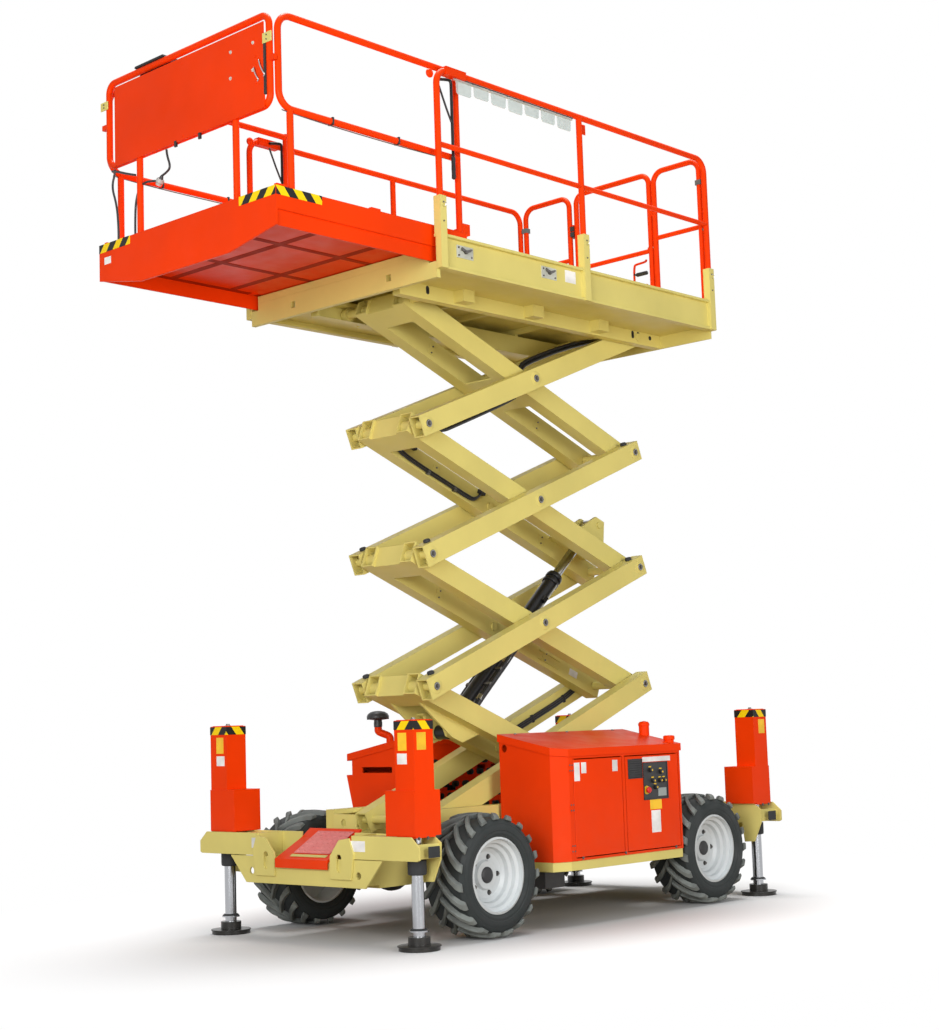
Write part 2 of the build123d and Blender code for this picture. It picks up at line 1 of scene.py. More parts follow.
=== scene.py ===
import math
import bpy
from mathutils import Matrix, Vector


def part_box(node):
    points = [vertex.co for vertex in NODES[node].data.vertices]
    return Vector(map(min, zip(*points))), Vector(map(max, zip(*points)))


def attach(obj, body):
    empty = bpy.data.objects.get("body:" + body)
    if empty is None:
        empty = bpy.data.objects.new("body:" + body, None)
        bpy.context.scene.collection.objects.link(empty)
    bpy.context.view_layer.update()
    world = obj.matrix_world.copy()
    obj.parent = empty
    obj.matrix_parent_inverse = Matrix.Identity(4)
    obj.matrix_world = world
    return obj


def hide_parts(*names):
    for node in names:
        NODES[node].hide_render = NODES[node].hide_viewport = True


bl_info = {
    "name": "Scissor Lift",
    "version": (1, 0, 0),
    "blender": (4, 5, 0),
    "location": "View3D > Sidebar > Scissor Lift",
    "description": "Finishes and fittings for a rough-terrain scissor lift",
    "category": "Object",
}

import bmesh
import bpy
from bpy.props import FloatProperty, FloatVectorProperty, IntProperty, PointerProperty
from mathutils import Matrix, Vector

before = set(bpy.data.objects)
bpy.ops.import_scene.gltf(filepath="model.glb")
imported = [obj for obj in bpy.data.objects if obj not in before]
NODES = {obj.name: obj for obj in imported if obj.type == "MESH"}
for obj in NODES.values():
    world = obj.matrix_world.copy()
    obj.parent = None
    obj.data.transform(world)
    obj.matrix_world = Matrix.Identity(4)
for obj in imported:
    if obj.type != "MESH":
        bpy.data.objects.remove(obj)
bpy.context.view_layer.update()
BOX = {name: tuple(Vector(corner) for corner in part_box(name)) for name in NODES}
CORNERS = (("fl", 1, 1), ("fr", 1, -1), ("rl", -1, 1), ("rr", -1, -1))

ARM = 2.130             # pin to pin
HALF = ARM / 2
DEPTH = 0.065           # half the depth of an arm tube
TILT = math.radians(21.46)
OUTER_Y = 0.321         # outer face of the outer arms
CYLINDER = Vector((0.536, 0, 1.138)), Vector((-0.947, 0, 2.488))    # foot and head pins

HUB_Z = 0.345           # middle of the wheels
JACK_X, JACK_Y = 1.586, 0.788
HOOD_FACE = 0.868       # outer face of the left hood's doors
HOOD_SLOPE = 14.274     # degrees, of the right hood's lower side

DECK_FLOOR = 3.880      # top of the main deck's floor
BEAM_FACE = 0.3895      # outer face of the long beams below it
RAIL_Y = 0.834
GATE_X = -1.301         # tube line of the rear rails and the gate
EXTENSION_FLOOR = 3.898
EXTENSION_RAIL_Y = 0.756

CAMERA = (8.3918, 7.6441, 1.2068)
CAMERA_YAW, CAMERA_PITCH = 223.1911, 6.5716     # degrees
DUST = (0.3, 0.27, 0.2)                 # road film, low on painted parts
FLOOR_BOUNCE = (0.36, 0.28, 0.19)       # what the floor throws back at the undersides
CABLE_LENGTHS = {"cable_left": 0.56, "cable_to_plug": 0.18, "cable_from_plug": 0.60}


# ------------------------------------------------------------------ settings
class LiftPaintSettings(bpy.types.PropertyGroup):
    orange: FloatVectorProperty(
        name="Orange",
        description="Paint of the hoods, the rails and the deck extension",
        subtype="COLOR",
        size=3,
        default=(0.86, 0.046, 0.001),
    )
    cream: FloatVectorProperty(
        name="Cream",
        description="Paint of the chassis, the arms and the main deck",
        subtype="COLOR",
        size=3,
        default=(0.72, 0.63, 0.20),
    )
    rim: FloatVectorProperty(
        name="Rim grey", description="Paint of the wheel rims", subtype="COLOR", size=3,
        default=(0.60, 0.64, 0.66)
    )
    rubber: FloatVectorProperty(
        name="Rubber", description="Side walls of the tyres", subtype="COLOR", size=3,
        default=(0.010, 0.013, 0.013)
    )
    tread: FloatVectorProperty(
        name="Tread dust", description="Dusty rubber of the lugs", subtype="COLOR", size=3,
        default=(0.19, 0.21, 0.20)
    )


class LiftStageSettings(bpy.types.PropertyGroup):
    lens: FloatProperty(name="Lens", description="Focal length of the camera", default=62.15, unit="CAMERA")
    roll: FloatProperty(
        name="Roll", description="Sideways lean of the camera", subtype="ANGLE",
        default=math.radians(-1.8624)
    )


class LiftTyreSettings(bpy.types.PropertyGroup):
    lugs: IntProperty(
        name="Lugs", description="Tread lugs on each half of a tyre", default=19, min=8, max=30
    )
    sweep: FloatProperty(
        name="Sweep", description="How far round the tyre a lug leans", subtype="ANGLE",
        default=math.radians(27)
    )
    groove: FloatProperty(
        name="Groove", description="Depth of the tread between the lugs", default=0.026, unit="LENGTH"
    )


# ------------------------------------------------------------------ materials
def fill(node, **values):
    """Set inputs of a node; an underscore stands for the blank in an input's name"""
    for name, value in values.items():
        node.inputs[name.replace("_", " ")].default_value = value


def wire(tree, source, node, name):
    tree.links.new(source, node.inputs[name])


def shader(name, rough=0.5, metallic=0.0, coat=0.0, shine=0.5):
    """A new material, its tree and its surface node"""
    m = bpy.data.materials.new(name)
    m.use_nodes = True
    b = m.node_tree.nodes["Principled BSDF"]
    fill(
        b, Roughness=rough, Metallic=metallic, Coat_Weight=coat, Coat_Roughness=0.12,
        Specular_IOR_Level=shine
    )
    return m, m.node_tree, b


def math_node(tree, kind, a, b=None):
    n = tree.nodes.new("ShaderNodeMath")
    n.operation = kind
    for i, value in enumerate((a, b)):
        if isinstance(value, (int, float)):
            n.inputs[i].default_value = value
        elif value is not None:
            tree.links.new(value, n.inputs[i])
    return n.outputs[0]


def spot_of(tree):
    return tree.nodes.new("ShaderNodeTexCoord").outputs["Object"]


def noise(tree, scale, detail=4.0, stretch=(1, 1, 1)):
    place = tree.nodes.new("ShaderNodeMapping")
    fill(place, Scale=stretch)
    wire(tree, spot_of(tree), place, "Vector")
    n = tree.nodes.new("ShaderNodeTexNoise")
    fill(n, Scale=scale, Detail=detail)
    wire(tree, place.outputs["Vector"], n, "Vector")
    return n.outputs["Fac"]


def tint(tree, source, low, high, a=0.35, b=0.65):
    """A colour between two places of a value"""
    ramp = tree.nodes.new("ShaderNodeValToRGB")
    for stop, place, colour in zip(ramp.color_ramp.elements, (a, b), (low, high)):
        stop.position = place
        stop.color = (*colour, 1)
    wire(tree, source, ramp, "Fac")
    return ramp.outputs["Color"]


def ranged(tree, source, low, high, to_low=0.0, to_high=1.0, smooth=False):
    """A value carried over from one range to another"""
    r = tree.nodes.new("ShaderNodeMapRange")
    fill(r, From_Min=low, From_Max=high, To_Min=to_low, To_Max=to_high)
    if smooth:
        r.interpolation_type = "SMOOTHSTEP"
    wire(tree, source, r, "Value")
    return r.outputs["Result"]


def roughen(tree, source, low, high, b):
    wire(tree, ranged(tree, source, 0.3, 0.7, low, high), b, "Roughness")


def dimple(tree, source, strength, distance, b, edge=0.0):
    """Fine relief, with edges softened by a radius"""
    bump = tree.nodes.new("ShaderNodeBump")
    fill(bump, Strength=strength, Distance=distance)
    wire(tree, source, bump, "Height")
    if edge:
        soft = tree.nodes.new("ShaderNodeBevel")
        soft.samples = 3
        fill(soft, Radius=edge)
        wire(tree, soft.outputs["Normal"], bump, "Normal")
    wire(tree, bump.outputs["Normal"], b, "Normal")


def shade(c, k):
    return tuple(min(1.0, v * k) for v in c)


def paint(name, colour, rough=0.36, coat=0.0, edge=0.003, shine=0.08):
    """Sprayed paint: slow colour drift, orange-peel skin, road film low down and softened edges"""
    colour = tuple(colour)
    m, t, b = shader(name, rough, 0.0, coat, shine)
    split = t.nodes.new("ShaderNodeSeparateXYZ")
    wire(t, spot_of(t), split, "Vector")
    film = math_node(t, "MULTIPLY", noise(t, 14.0, 8.0), 0.34)
    mix = t.nodes.new("ShaderNodeMixRGB")
    fill(mix, Color2=(*[0.75 * v + 0.25 * g for v, g in zip(colour, DUST)], 1))
    wire(t, math_node(t, "MULTIPLY", film, ranged(t, split.outputs["Z"], 0.85, 0.25)), mix, "Fac")
    wire(t, tint(t, noise(t, 2.3, 5.0), shade(colour, 0.94), shade(colour, 1.04)), mix, "Color1")
    wire(t, mix.outputs["Color"], b, "Base Color")
    roughen(t, noise(t, 9.0, 6.0), rough - 0.06, rough + 0.08, b)
    dimple(t, noise(t, 260.0, 2.0), 0.1, 0.0006, b, edge)
    return m


def metal(name, colour, rough, streak=(1, 1, 1), worn=0.85):
    m, t, b = shader(name, rough, 1.0)
    grain = noise(t, 60.0, 6.0, streak)
    wire(t, tint(t, grain, shade(colour, worn), colour), b, "Base Color")
    roughen(t, grain, rough - 0.03, rough + 0.4 * (1.0 - worn), b)
    dimple(t, grain, 0.05, 0.0003, b)
    return m


def plastic(name, colour, rough=0.5, scale=300.0):
    m, t, b = shader(name, rough)
    wire(t, tint(t, noise(t, 6.0), shade(colour, 0.8), shade(colour, 1.2)), b, "Base Color")
    roughen(t, noise(t, 14.0), rough - 0.08, rough + 0.1, b)
    dimple(t, noise(t, scale, 3.0), 0.2, 0.0005, b)
    return m


def rubber(name, colour, dust=None, low=0.3, high=0.75):
    m, t, b = shader(name, 0.75)
    colour = tuple(colour)
    cloud = noise(t, 9.0, 8.0)
    wire(t, tint(t, cloud, colour, dust or shade(colour, 2.0), low, high), b, "Base Color")
    roughen(t, cloud, 0.6, 0.9, b)
    dimple(t, noise(t, 130.0, 6.0), 0.4, 0.0012, b, 0.004)
    return m


def hazard(name):
    """Yellow and black stripes that lean the same way round a corner"""
    m, t, b = shader(name, 0.4, 0.0, 0.0, 0.2)
    lean = t.nodes.new("ShaderNodeVectorMath")
    lean.operation = "DOT_PRODUCT"
    lean.inputs[1].default_value = (-1.0, -1.0, 0.8)
    wire(t, spot_of(t), lean, 0)
    beat = math_node(t, "FRACT", math_node(t, "MULTIPLY", lean.outputs["Value"], 8.2))
    black, yellow = (0.012, 0.012, 0.012), (0.93, 0.66, 0.003)
    wire(t, tint(t, ranged(t, beat, 0.49, 0.51), black, yellow, 0.4, 0.6), b, "Base Color")
    dimple(t, noise(t, 40.0, 4.0), 0.05, 0.0005, b)
    return m


def clear(name, colour):
    m, t, b = shader(name, 0.25)
    fill(b, Alpha=0.55)
    wire(t, tint(t, noise(t, 20.0), shade(colour, 0.9), colour), b, "Base Color")
    return m


FINISHES = {
    "orange_paint": lambda n: paint(n, paints().orange),
    "cream_paint": lambda n: paint(n, paints().cream, 0.42, 0.0, 0.003, 0.12),
    # painted shade: the orange darkened to 0.42, a shaded copy for the ribs under the extension
    "painted_shade_orange": lambda n: paint(n, shade(paints().orange, 0.42), 0.6),
    "rim_paint": lambda n: paint(n, paints().rim, 0.35, 0.1, 0.002, 0.4),
    "black_paint": lambda n: paint(n, (0.008, 0.008, 0.009), 0.35, 0.1, 0.003, 0.3),
    "tyre_rubber": lambda n: rubber(n, paints().rubber, None, 0.35, 0.8),
    "tread_rubber": lambda n: rubber(
        n, shade(tuple(paints().tread), 0.42), tuple(paints().tread), 0.32, 0.62
    ),
    "black_rubber": lambda n: rubber(n, (0.010, 0.011, 0.012)),
    "chrome_rod": lambda n: metal(n, (0.42, 0.43, 0.45), 0.20, (1, 1, 0.02), 0.97),
    "bright_steel": lambda n: metal(n, (0.50, 0.50, 0.49), 0.30),
    "pin_steel": lambda n: metal(n, (0.17, 0.16, 0.15), 0.40),
    "engine_cast": lambda n: metal(n, (0.10, 0.10, 0.10), 0.5),
    "hose_sheath": lambda n: plastic(n, (0.012, 0.012, 0.013), 0.42, 500.0),
    "black_plastic": lambda n: plastic(n, (0.014, 0.014, 0.015), 0.45),
    "red_plastic": lambda n: plastic(n, (0.62, 0.012, 0.01), 0.35),
    "yellow_plastic": lambda n: plastic(n, (0.80, 0.50, 0.01), 0.4),
    "grey_plastic": lambda n: plastic(n, (0.45, 0.45, 0.43), 0.4),
    "white_label": lambda n: plastic(n, (0.80, 0.80, 0.80), 0.35, 90.0),
    "zinc_plate": lambda n: plastic(n, (0.55, 0.57, 0.50), 0.35, 60.0),
    "yellow_label": lambda n: plastic(n, (0.88, 0.50, 0.012), 0.35, 90.0),
    "tray_grip": lambda n: rubber(n, (0.80, 0.20, 0.19), (0.86, 0.30, 0.28)),
    "clear_tab": lambda n: clear(n, (0.62, 0.72, 0.70)),
    "hazard_band": hazard,
}


MADE = {}


def finish_of(name):
    if name not in MADE:
        MADE[name] = FINISHES[name](f"lift_{name}")
    return MADE[name]


def finish(ob, *names):
    ob.data.materials.clear()
    for name in names:
        ob.data.materials.append(finish_of(name) if isinstance(name, str) else name)


def paints():
    return bpy.context.scene.lift_paint


# ------------------------------------------------------------------ shapes
def bar(bm, x0, x1, y0, y1, z0, z1):
    made = bmesh.ops.create_cube(bm, size=1.0)["verts"]
    bmesh.ops.scale(bm, verts=made, vec=(abs(x1 - x0), abs(y1 - y0), abs(z1 - z0)))
    bmesh.ops.translate(bm, verts=made, vec=((x0 + x1) / 2, (y0 + y1) / 2, (z0 + z1) / 2))


def drum(bm, a, b, r, r2=None, n=20):
    a, b = Vector(a), Vector(b)
    place = Matrix.Translation((a + b) / 2) @ (b - a).to_track_quat("Z", "Y").to_matrix().to_4x4()
    r2 = r if r2 is None else r2
    bmesh.ops.create_cone(
        bm, cap_ends=True, segments=n, radius1=r, radius2=r2, depth=(b - a).length, matrix=place
    )


def along(axis, spot):
    """A matrix whose Z runs along an axis from a point"""
    return Matrix.Translation(spot) @ Vector(axis).to_track_quat("Z", "Y").to_matrix().to_4x4()


def at(x, y, z=0.0):
    return Matrix.Translation((x, y, z))


def turned(bm, profile, place, n=40, closed=False):
    """A turned shape; the profile is (radius, height) along the place's Z"""
    before = set(bm.verts)
    made = [bm.verts.new((r, 0, z)) for r, z in profile]
    edges = [bm.edges.new(pair) for pair in zip(made, made[1:] + made[:1] if closed else made[1:])]
    bmesh.ops.spin(
        bm, geom=made + edges, cent=(0, 0, 0), axis=(0, 0, 1), angle=math.tau, steps=n, use_merge=True
    )
    bmesh.ops.remove_doubles(bm, verts=[v for v in bm.verts if v not in before], dist=1e-5)
    bmesh.ops.transform(bm, verts=[v for v in bm.verts if v not in before], matrix=place)


def plate(bm, points, push):
    """A flat outline pushed to its thickness"""
    made = [bm.verts.new(p) for p in points]
    out = bmesh.ops.extrude_face_region(bm, geom=[bm.faces.new(made)])["geom"]
    pushed = [v for v in out if isinstance(v, bmesh.types.BMVert)]
    bmesh.ops.translate(bm, verts=pushed, vec=push)
    return made + pushed


def bolt(bm, spot, axis, r=0.008, h=0.007, washer=True):
    """A hexagon head on its washer"""
    spot, axis = Vector(spot), Vector(axis).normalized()
    base = 0.002 if washer else 0.0
    if washer:
        drum(bm, spot - axis * 0.001, spot + axis * base, r * 1.55, n=12)
    drum(bm, spot + axis * base, spot + axis * (base + h), r, r * 0.92, 6)


def piece(name, bm, body, *finishes, bevel=0.0, segments=2, slot=None):
    bmesh.ops.recalc_face_normals(bm, faces=bm.faces)
    for f in bm.faces:
        f.smooth = True
    for e in bm.edges:
        e.smooth = bevel > 0 or not (e.is_manifold and e.calc_face_angle(0.0) > 0.6)
    data = bpy.data.meshes.new(name)
    bm.to_mesh(data)
    bm.free()
    ob = bpy.data.objects.new(name, data)
    bpy.context.scene.collection.objects.link(ob)
    finish(ob, *finishes)
    if bevel:
        edges = ob.modifiers.new("edges", "BEVEL")
        edges.width = bevel
        edges.segments = segments
        edges.limit_method = "ANGLE"
        edges.angle_limit = math.radians(40)
        edges.harden_normals = True
    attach(ob, body)
    return ob


def checker(name, body, finish_name, corner, columns, rows):
    """Raised bars of a checker plate, leaning this way and that"""
    bm, pitch = bmesh.new(), 0.062
    slim = Matrix.Diagonal((1.0, 0.28, 1.0, 1.0))
    for i in range(columns):
        for j in range(rows):
            lean = Matrix.Rotation(math.radians(45 if (i + j) % 2 else -45), 4, "Z")
            place = Matrix.Translation(Vector(corner) + Vector((pitch * i, pitch * j, 0))) @ lean @ slim
            bmesh.ops.create_cone(
                bm, cap_ends=True, segments=6, radius1=0.019, radius2=0.011, depth=0.0032, matrix=place
            )
    piece(name, bm, body, finish_name, slot=finish_name)


def hose(name, body, points, r, sheath="hose_sheath", place=None):
    """A hose or bent rod: a smooth line through the pull of its points"""
    points = [place @ Vector(p) for p in points] if place else points
    data = bpy.data.curves.new(name, "CURVE")
    data.dimensions = "3D"
    line = data.splines.new("NURBS")
    line.points.add(len(points) - 1)
    for point, spot in zip(line.points, points):
        point.co = (*spot, 1.0)
    line.order_u = 3
    line.use_endpoint_u = True
    line.resolution_u = 6
    data.bevel_depth = r
    data.bevel_resolution = 3
    data.use_fill_caps = True
    ob = bpy.data.objects.new(name, data)
    bpy.context.scene.collection.objects.link(ob)
    finish(ob, sheath)
    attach(ob, body)
    return ob


SLOTS = {"orange_paint": "orange_paint", "cream_paint": "cream_paint", "rim_paint": "rim_silver"}
SOFT = {
    "orange_paint": 0.002, "cream_paint": 0.002, "black_rubber": 0.003, "black_plastic": 0.002,
    "clear_tab": 0.001, "white_label": 0.0006, "yellow_label": 0.0006, "zinc_plate": 0.001,
}


class Kit:
    """Fittings of one body, gathered by finish, so that each finish becomes one piece"""

    def __init__(self, name, body):
        self.name, self.body, self.sets = name, body, {}

    def __getitem__(self, name):
        return self.sets.setdefault(name, bmesh.new())

    def close(self, place=None):
        for name, bm in self.sets.items():
            if place:
                bmesh.ops.transform(bm, verts=bm.verts, matrix=place)
            piece(
                f"{self.name}_{name}", bm, self.body, name, bevel=SOFT.get(name, 0.0),
                slot=SLOTS.get(name)
            )


def label(kit, colour, axis, face, u0, u1, v0, v1, lift=0.001):
    """A blank sticker, or a flat black patch of painted shade, on a face across X (u is Y) or across Y (u
    is X); v is Z
    """
    if axis == "x":
        bar(kit[colour], face - lift, face + lift, u0, u1, v0, v1)
    else:
        bar(kit[colour], u0, u1, face - lift, face + lift, v0, v1)


def arm_place(stage, kind):
    """The frame of an arm: X from its middle to its front end, Z across its depth"""
    low, high = BOX[f"outer_arms_{stage}"]
    mid = (low + high) / 2
    return at(mid.x, 0, mid.z) @ Matrix.Rotation(TILT if kind == "outer" else -TILT, 4, "Y")


# ------------------------------------------------------------------ stage
class LiftStageOperator(bpy.types.Operator):
    """Floor, soft lights and the camera"""

    bl_idname = "lift.stage"
    bl_label = "Stage"

    def execute(self, context):
        scene = context.scene
        scene.view_settings.view_transform = "Standard"
        world = bpy.data.worlds.new("studio")
        scene.world = world
        world.use_nodes = True
        tree = world.node_tree
        back, white = tree.nodes["Background"], tree.nodes.new("ShaderNodeBackground")
        fill(back, Color=(0.95, 0.97, 1.0, 1), Strength=0.24)
        fill(white, Color=(1, 1, 1, 1), Strength=1.0)
        self.blend(tree, self.seen(tree), back, white, tree.nodes["World Output"])
        self.floor(scene)
        self.lamp("overhead", (-0.8, -0.6, 16.0), (0.2, 0.3, 0), 2500, 6.5)
        self.lamp("front_fill", (9.8, 4.2, 3.2), (0, 0, 2.4), 640, 5.0)
        self.lamp("side_fill", (2.6, 10.4, 3.0), (0, 0, 2.4), 540, 5.0)
        self.camera(scene)
        return {"FINISHED"}

    def seen(self, tree):
        """One for what the camera, a mirror or clear plastic sees"""
        ray = tree.nodes.new("ShaderNodeLightPath")
        any_of = math_node(tree, "MAXIMUM", ray.outputs["Is Camera Ray"], ray.outputs["Is Glossy Ray"])
        return math_node(tree, "MAXIMUM", any_of, ray.outputs["Is Transmission Ray"])

    def blend(self, tree, share, first, second, output):
        mix = tree.nodes.new("ShaderNodeMixShader")
        for i, source in enumerate((share, first.outputs[0], second.outputs[0])):
            tree.links.new(source, mix.inputs[i])
        wire(tree, mix.outputs[0], output, "Surface")

    def floor(self, scene):
        """Pale paper that takes the shadow and fades to white, with a painted shadow that darkens it
        towards the middle; bounced light meets a darker, warmer one
        """
        bm = bmesh.new()
        bmesh.ops.create_grid(bm, x_segments=2, y_segments=2, size=60.0)
        bmesh.ops.translate(bm, verts=bm.verts, vec=(0, 0, -0.001))
        data = bpy.data.meshes.new("floor")
        bm.to_mesh(data)
        bm.free()
        ob = bpy.data.objects.new("floor", data)
        scene.collection.objects.link(ob)
        m, t, b = shader("floor_paper", 0.9, shine=0.0)
        flat, reach = (t.nodes.new("ShaderNodeVectorMath") for _ in range(2))
        flat.operation, reach.operation = "MULTIPLY", "LENGTH"
        flat.inputs[1].default_value = (1.0, 1.3, 0.0)
        wire(t, spot_of(t), flat, 0)
        wire(t, flat.outputs["Vector"], reach, 0)
        away = reach.outputs["Value"]
        paper, glow = t.nodes.new("ShaderNodeMixRGB"), t.nodes.new("ShaderNodeEmission")
        fill(paper, Color1=(*FLOOR_BOUNCE, 1))
        fill(glow, Color=(1, 1, 1, 1))
        wire(t, self.seen(t), paper, "Fac")
        # painted shadow: the paper the camera sees darkens from 0.94 beyond 2.9 m to 0.50 within 0.7 m of
        # the middle
        wire(t, ranged(t, away, 0.7, 2.9, 0.50, 0.94, smooth=True), paper, "Color2")
        wire(t, paper.outputs["Color"], b, "Base Color")
        fade = math_node(t, "MULTIPLY", ranged(t, away, 1.2, 4.6, smooth=True), self.seen(t))
        self.blend(t, fade, b, glow, t.nodes["Material Output"])
        finish(ob, m)

    def lamp(self, name, place, aim, watts, size):
        data = bpy.data.lights.new(name, "AREA")
        data.energy = watts
        data.size = size
        ob = bpy.data.objects.new(name, data)
        ob.location = place
        ob.rotation_euler = (Vector(aim) - Vector(place)).to_track_quat("-Z", "Y").to_euler()
        bpy.context.scene.collection.objects.link(ob)

    def camera(self, scene):
        cam = bpy.data.cameras.new("view")
        cam.lens = scene.lift_stage.lens
        cam.sensor_width = 36.0
        ob = bpy.data.objects.new("view", cam)
        scene.collection.objects.link(ob)
        yaw, pitch, roll = math.radians(CAMERA_YAW), math.radians(CAMERA_PITCH), scene.lift_stage.roll
        ahead = Vector((math.cos(yaw) * math.cos(pitch), math.sin(yaw) * math.cos(pitch), math.sin(pitch)))
        right = ahead.cross(Vector((0, 0, 1))).normalized()
        up = right.cross(ahead)
        side = right * math.cos(roll) + up * math.sin(roll)
        top = -right * math.sin(roll) + up * math.cos(roll)
        turn = Matrix((side, top, -ahead)).transposed()
        ob.matrix_world = Matrix.Translation(CAMERA) @ turn.to_4x4()
        scene.camera = ob


class LiftCablesOperator(bpy.types.Operator):
    """The control cables that hang in loops under the front panel"""

    bl_idname = "lift.cables"
    bl_label = "Control cables"

    def execute(self, context):
        kit = Kit("cable_plug", "extension")
        turned(
            kit["grey_plastic"],
            [
                (0, 0), (0.019, 0), (0.023, 0.006), (0.023, 0.022), (0.017, 0.027), (0.017, 0.040),
                (0, 0.040)
            ],
            along((0, -0.5, -0.6), (2.434, -0.252, 4.296)),
            20,
        )
        drum(kit["black_plastic"], (2.434, -0.240, 4.312), (2.434, -0.253, 4.294), 0.008, 0.014, 12)
        kit.close()
        plug = [bpy.data.objects["cable_plug_grey_plastic"], bpy.data.objects["cable_plug_black_plastic"]]
        deck = BOX["extension_deck"][1].z
        a = [
            (2.446, -0.672, 4.447), (2.446, -0.672, 4.425), (2.450, -0.70, 4.35), (2.450, -0.655, 4.24),
            (2.450, -0.638, 4.12), (2.448, -0.64, deck - 0.02), (2.448, -0.64, deck - 0.10)
        ]
        b = [
            (2.440, -0.189, 4.449), (2.440, -0.188, 4.42), (2.438, -0.155, 4.34), (2.436, -0.20, 4.318),
            (2.434, -0.240, 4.312)
        ]
        c = [
            (2.436, -0.262, 4.283), (2.438, -0.31, 4.300), (2.442, -0.43, 4.31), (2.446, -0.474, 4.22),
            (2.446, -0.482, 4.10), (2.446, -0.482, deck - 0.02), (2.446, -0.482, deck - 0.10)
        ]
        for name, points, end, extra in (
            ("cable_left", a, "object", []),
            ("cable_to_plug", b, "connector", plug),
            ("cable_from_plug", c, "object", []),
        ):
            ob = hose(name, "extension", points, 0.0065)
            points[0]
            CABLE_LENGTHS[name]
        return {"FINISHED"}


# finish of the CAD pieces whose names start so; the rest are cream
RAILS = ("extension", "front_panel", "main_rail", "rear_rails", "rear_gate")
CAD_FINISHES = (
    ("tyre_rubber", ("tyre",)),
    ("rim_paint", ("wheel_rim",)),
    ("chrome_rod", ("jack_leg", "lift_cylinder_rod")),
    ("black_paint", ("jack_pad", "lift_cylinder_barrel")),
    ("orange_paint", ("hood", "air_intake", "front_step", "front_jack", "rear_jack", *RAILS)),
    ("engine_cast", ("engine", "steering")),
)


class LiftPaintOperator(bpy.types.Operator):
    """Finishes of the pieces that come from the frame"""

    bl_idname = "lift.paint"
    bl_label = "Paint the frame"

    def execute(self, context):
        for name, ob in NODES.items():
            fitting = [kind for kind, starts in CAD_FINISHES if name.startswith(starts)]
            finish(ob, (fitting or ["cream_paint"])[0])
        return {"FINISHED"}


# ------------------------------------------------------------------ wheels
class LiftTyresOperator(bpy.types.Operator):
    """Tyres with two rows of leaning lugs"""

    bl_idname = "lift.tyres"
    bl_label = "Tyres"

    def execute(self, context):
        for corner, _, s in CORNERS:
            low, high = BOX[f"tyre_{corner}"]
            mid = (low + high) / 2
            place = Matrix.Translation(mid) @ Matrix.Rotation(math.radians(-90 * s), 4, "X")
            radius, half = (high.z - low.z) / 2, (high.y - low.y) / 2
            bm = bmesh.new()
            self.carcass(bm, place, radius, half)
            case = piece(f"tyre_case_{corner}", bm, f"wheel_{corner}", "tyre_rubber", slot="tyre_rubber")
            bm = bmesh.new()
            self.lugs(bm, radius, half)
            bmesh.ops.transform(bm, verts=bm.verts, matrix=place)
            piece(
                f"tyre_lugs_{corner}", bm, f"wheel_{corner}", "tread_rubber", bevel=0.003,
                slot="tyre_rubber"
            )
            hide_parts(f"tyre_{corner}")
        return {"FINISHED"}

    def carcass(self, bm, place, radius, half):
        tread = radius - bpy.context.scene.lift_tyres.groove
        side = [
            (tread, 0.0), (tread - 0.001, 0.08), (tread - 0.006, half - 0.022),
            (tread - 0.018, half - 0.009), (tread - 0.034, half - 0.004), (0.283, half - 0.005),
            (0.279, half - 0.002), (0.262, half - 0.001), (0.250, half - 0.001), (0.246, half - 0.004),
            (0.232, half - 0.003), (0.224, half - 0.008), (0.214, half - 0.013)
        ]
        ring = [(r, -h) for r, h in reversed(side)] + side[1:]
        turned(bm, ring, place, 72, closed=True)

    def lugs(self, bm, radius, half):
        settings = bpy.context.scene.lift_tyres
        # share of the half width, share of the sweep, top radius, foot radius, half width of the lug
        stations = (
            (-0.06, 0.0, 0.0, -0.030, 0.017),
            (0.22, 0.36, 0.0, -0.030, 0.020),
            (0.52, 0.68, -0.001, -0.032, 0.022),
            (0.80, 0.90, -0.005, -0.036, 0.024),
            (0.94, 0.98, -0.011, -0.038, 0.025),
            (1.0, 1.0, -0.020, -0.036, 0.024),
        )
        ring = None
        for across, lean, top, foot, wide in stations:
            turn = Matrix.Rotation(lean * settings.sweep, 4, "Z")
            spots = (
                (radius + foot, -wide), (radius + top, -wide * 0.72), (radius + top, wide * 0.72),
                (radius + foot, wide)
            )
            if ring is None:
                ring = [bm.verts.new(turn @ Vector((r, y, across * half))) for r, y in spots]
                bm.faces.new(ring)
                continue
            pairs = [(ring[i], ring[(i + 1) % 4]) for i in range(4)]
            edges = [bm.edges.get(pair) or bm.edges.new(pair) for pair in pairs]
            out = bmesh.ops.extrude_edge_only(bm, edges=edges)["geom"]
            new = [v for v in out if isinstance(v, bmesh.types.BMVert)]
            follow = {}
            for v in new:
                follow[min(range(4), key=lambda i: (ring[i].co - v.co).length)] = v
            ring = [follow[i] for i in range(4)]
            for v, (r, y) in zip(ring, spots):
                v.co = turn @ Vector((r, y, across * half))
        bm.faces.new(ring)
        one = list(bm.verts) + list(bm.edges) + list(bm.faces)
        twin = bmesh.ops.duplicate(bm, geom=one)["geom"]
        twin_verts = [g for g in twin if isinstance(g, bmesh.types.BMVert)]
        bmesh.ops.scale(bm, verts=twin_verts, vec=(1, 1, -1))
        pitch = math.tau / settings.lugs
        bmesh.ops.rotate(bm, verts=twin_verts, cent=(0, 0, 0), matrix=Matrix.Rotation(pitch / 2, 3, "Z"))
        pair = list(bm.verts) + list(bm.edges) + list(bm.faces)
        bmesh.ops.spin(
            bm, geom=pair, cent=(0, 0, 0), axis=(0, 0, 1), angle=math.tau - pitch,
            steps=settings.lugs - 1, use_duplicate=True
        )


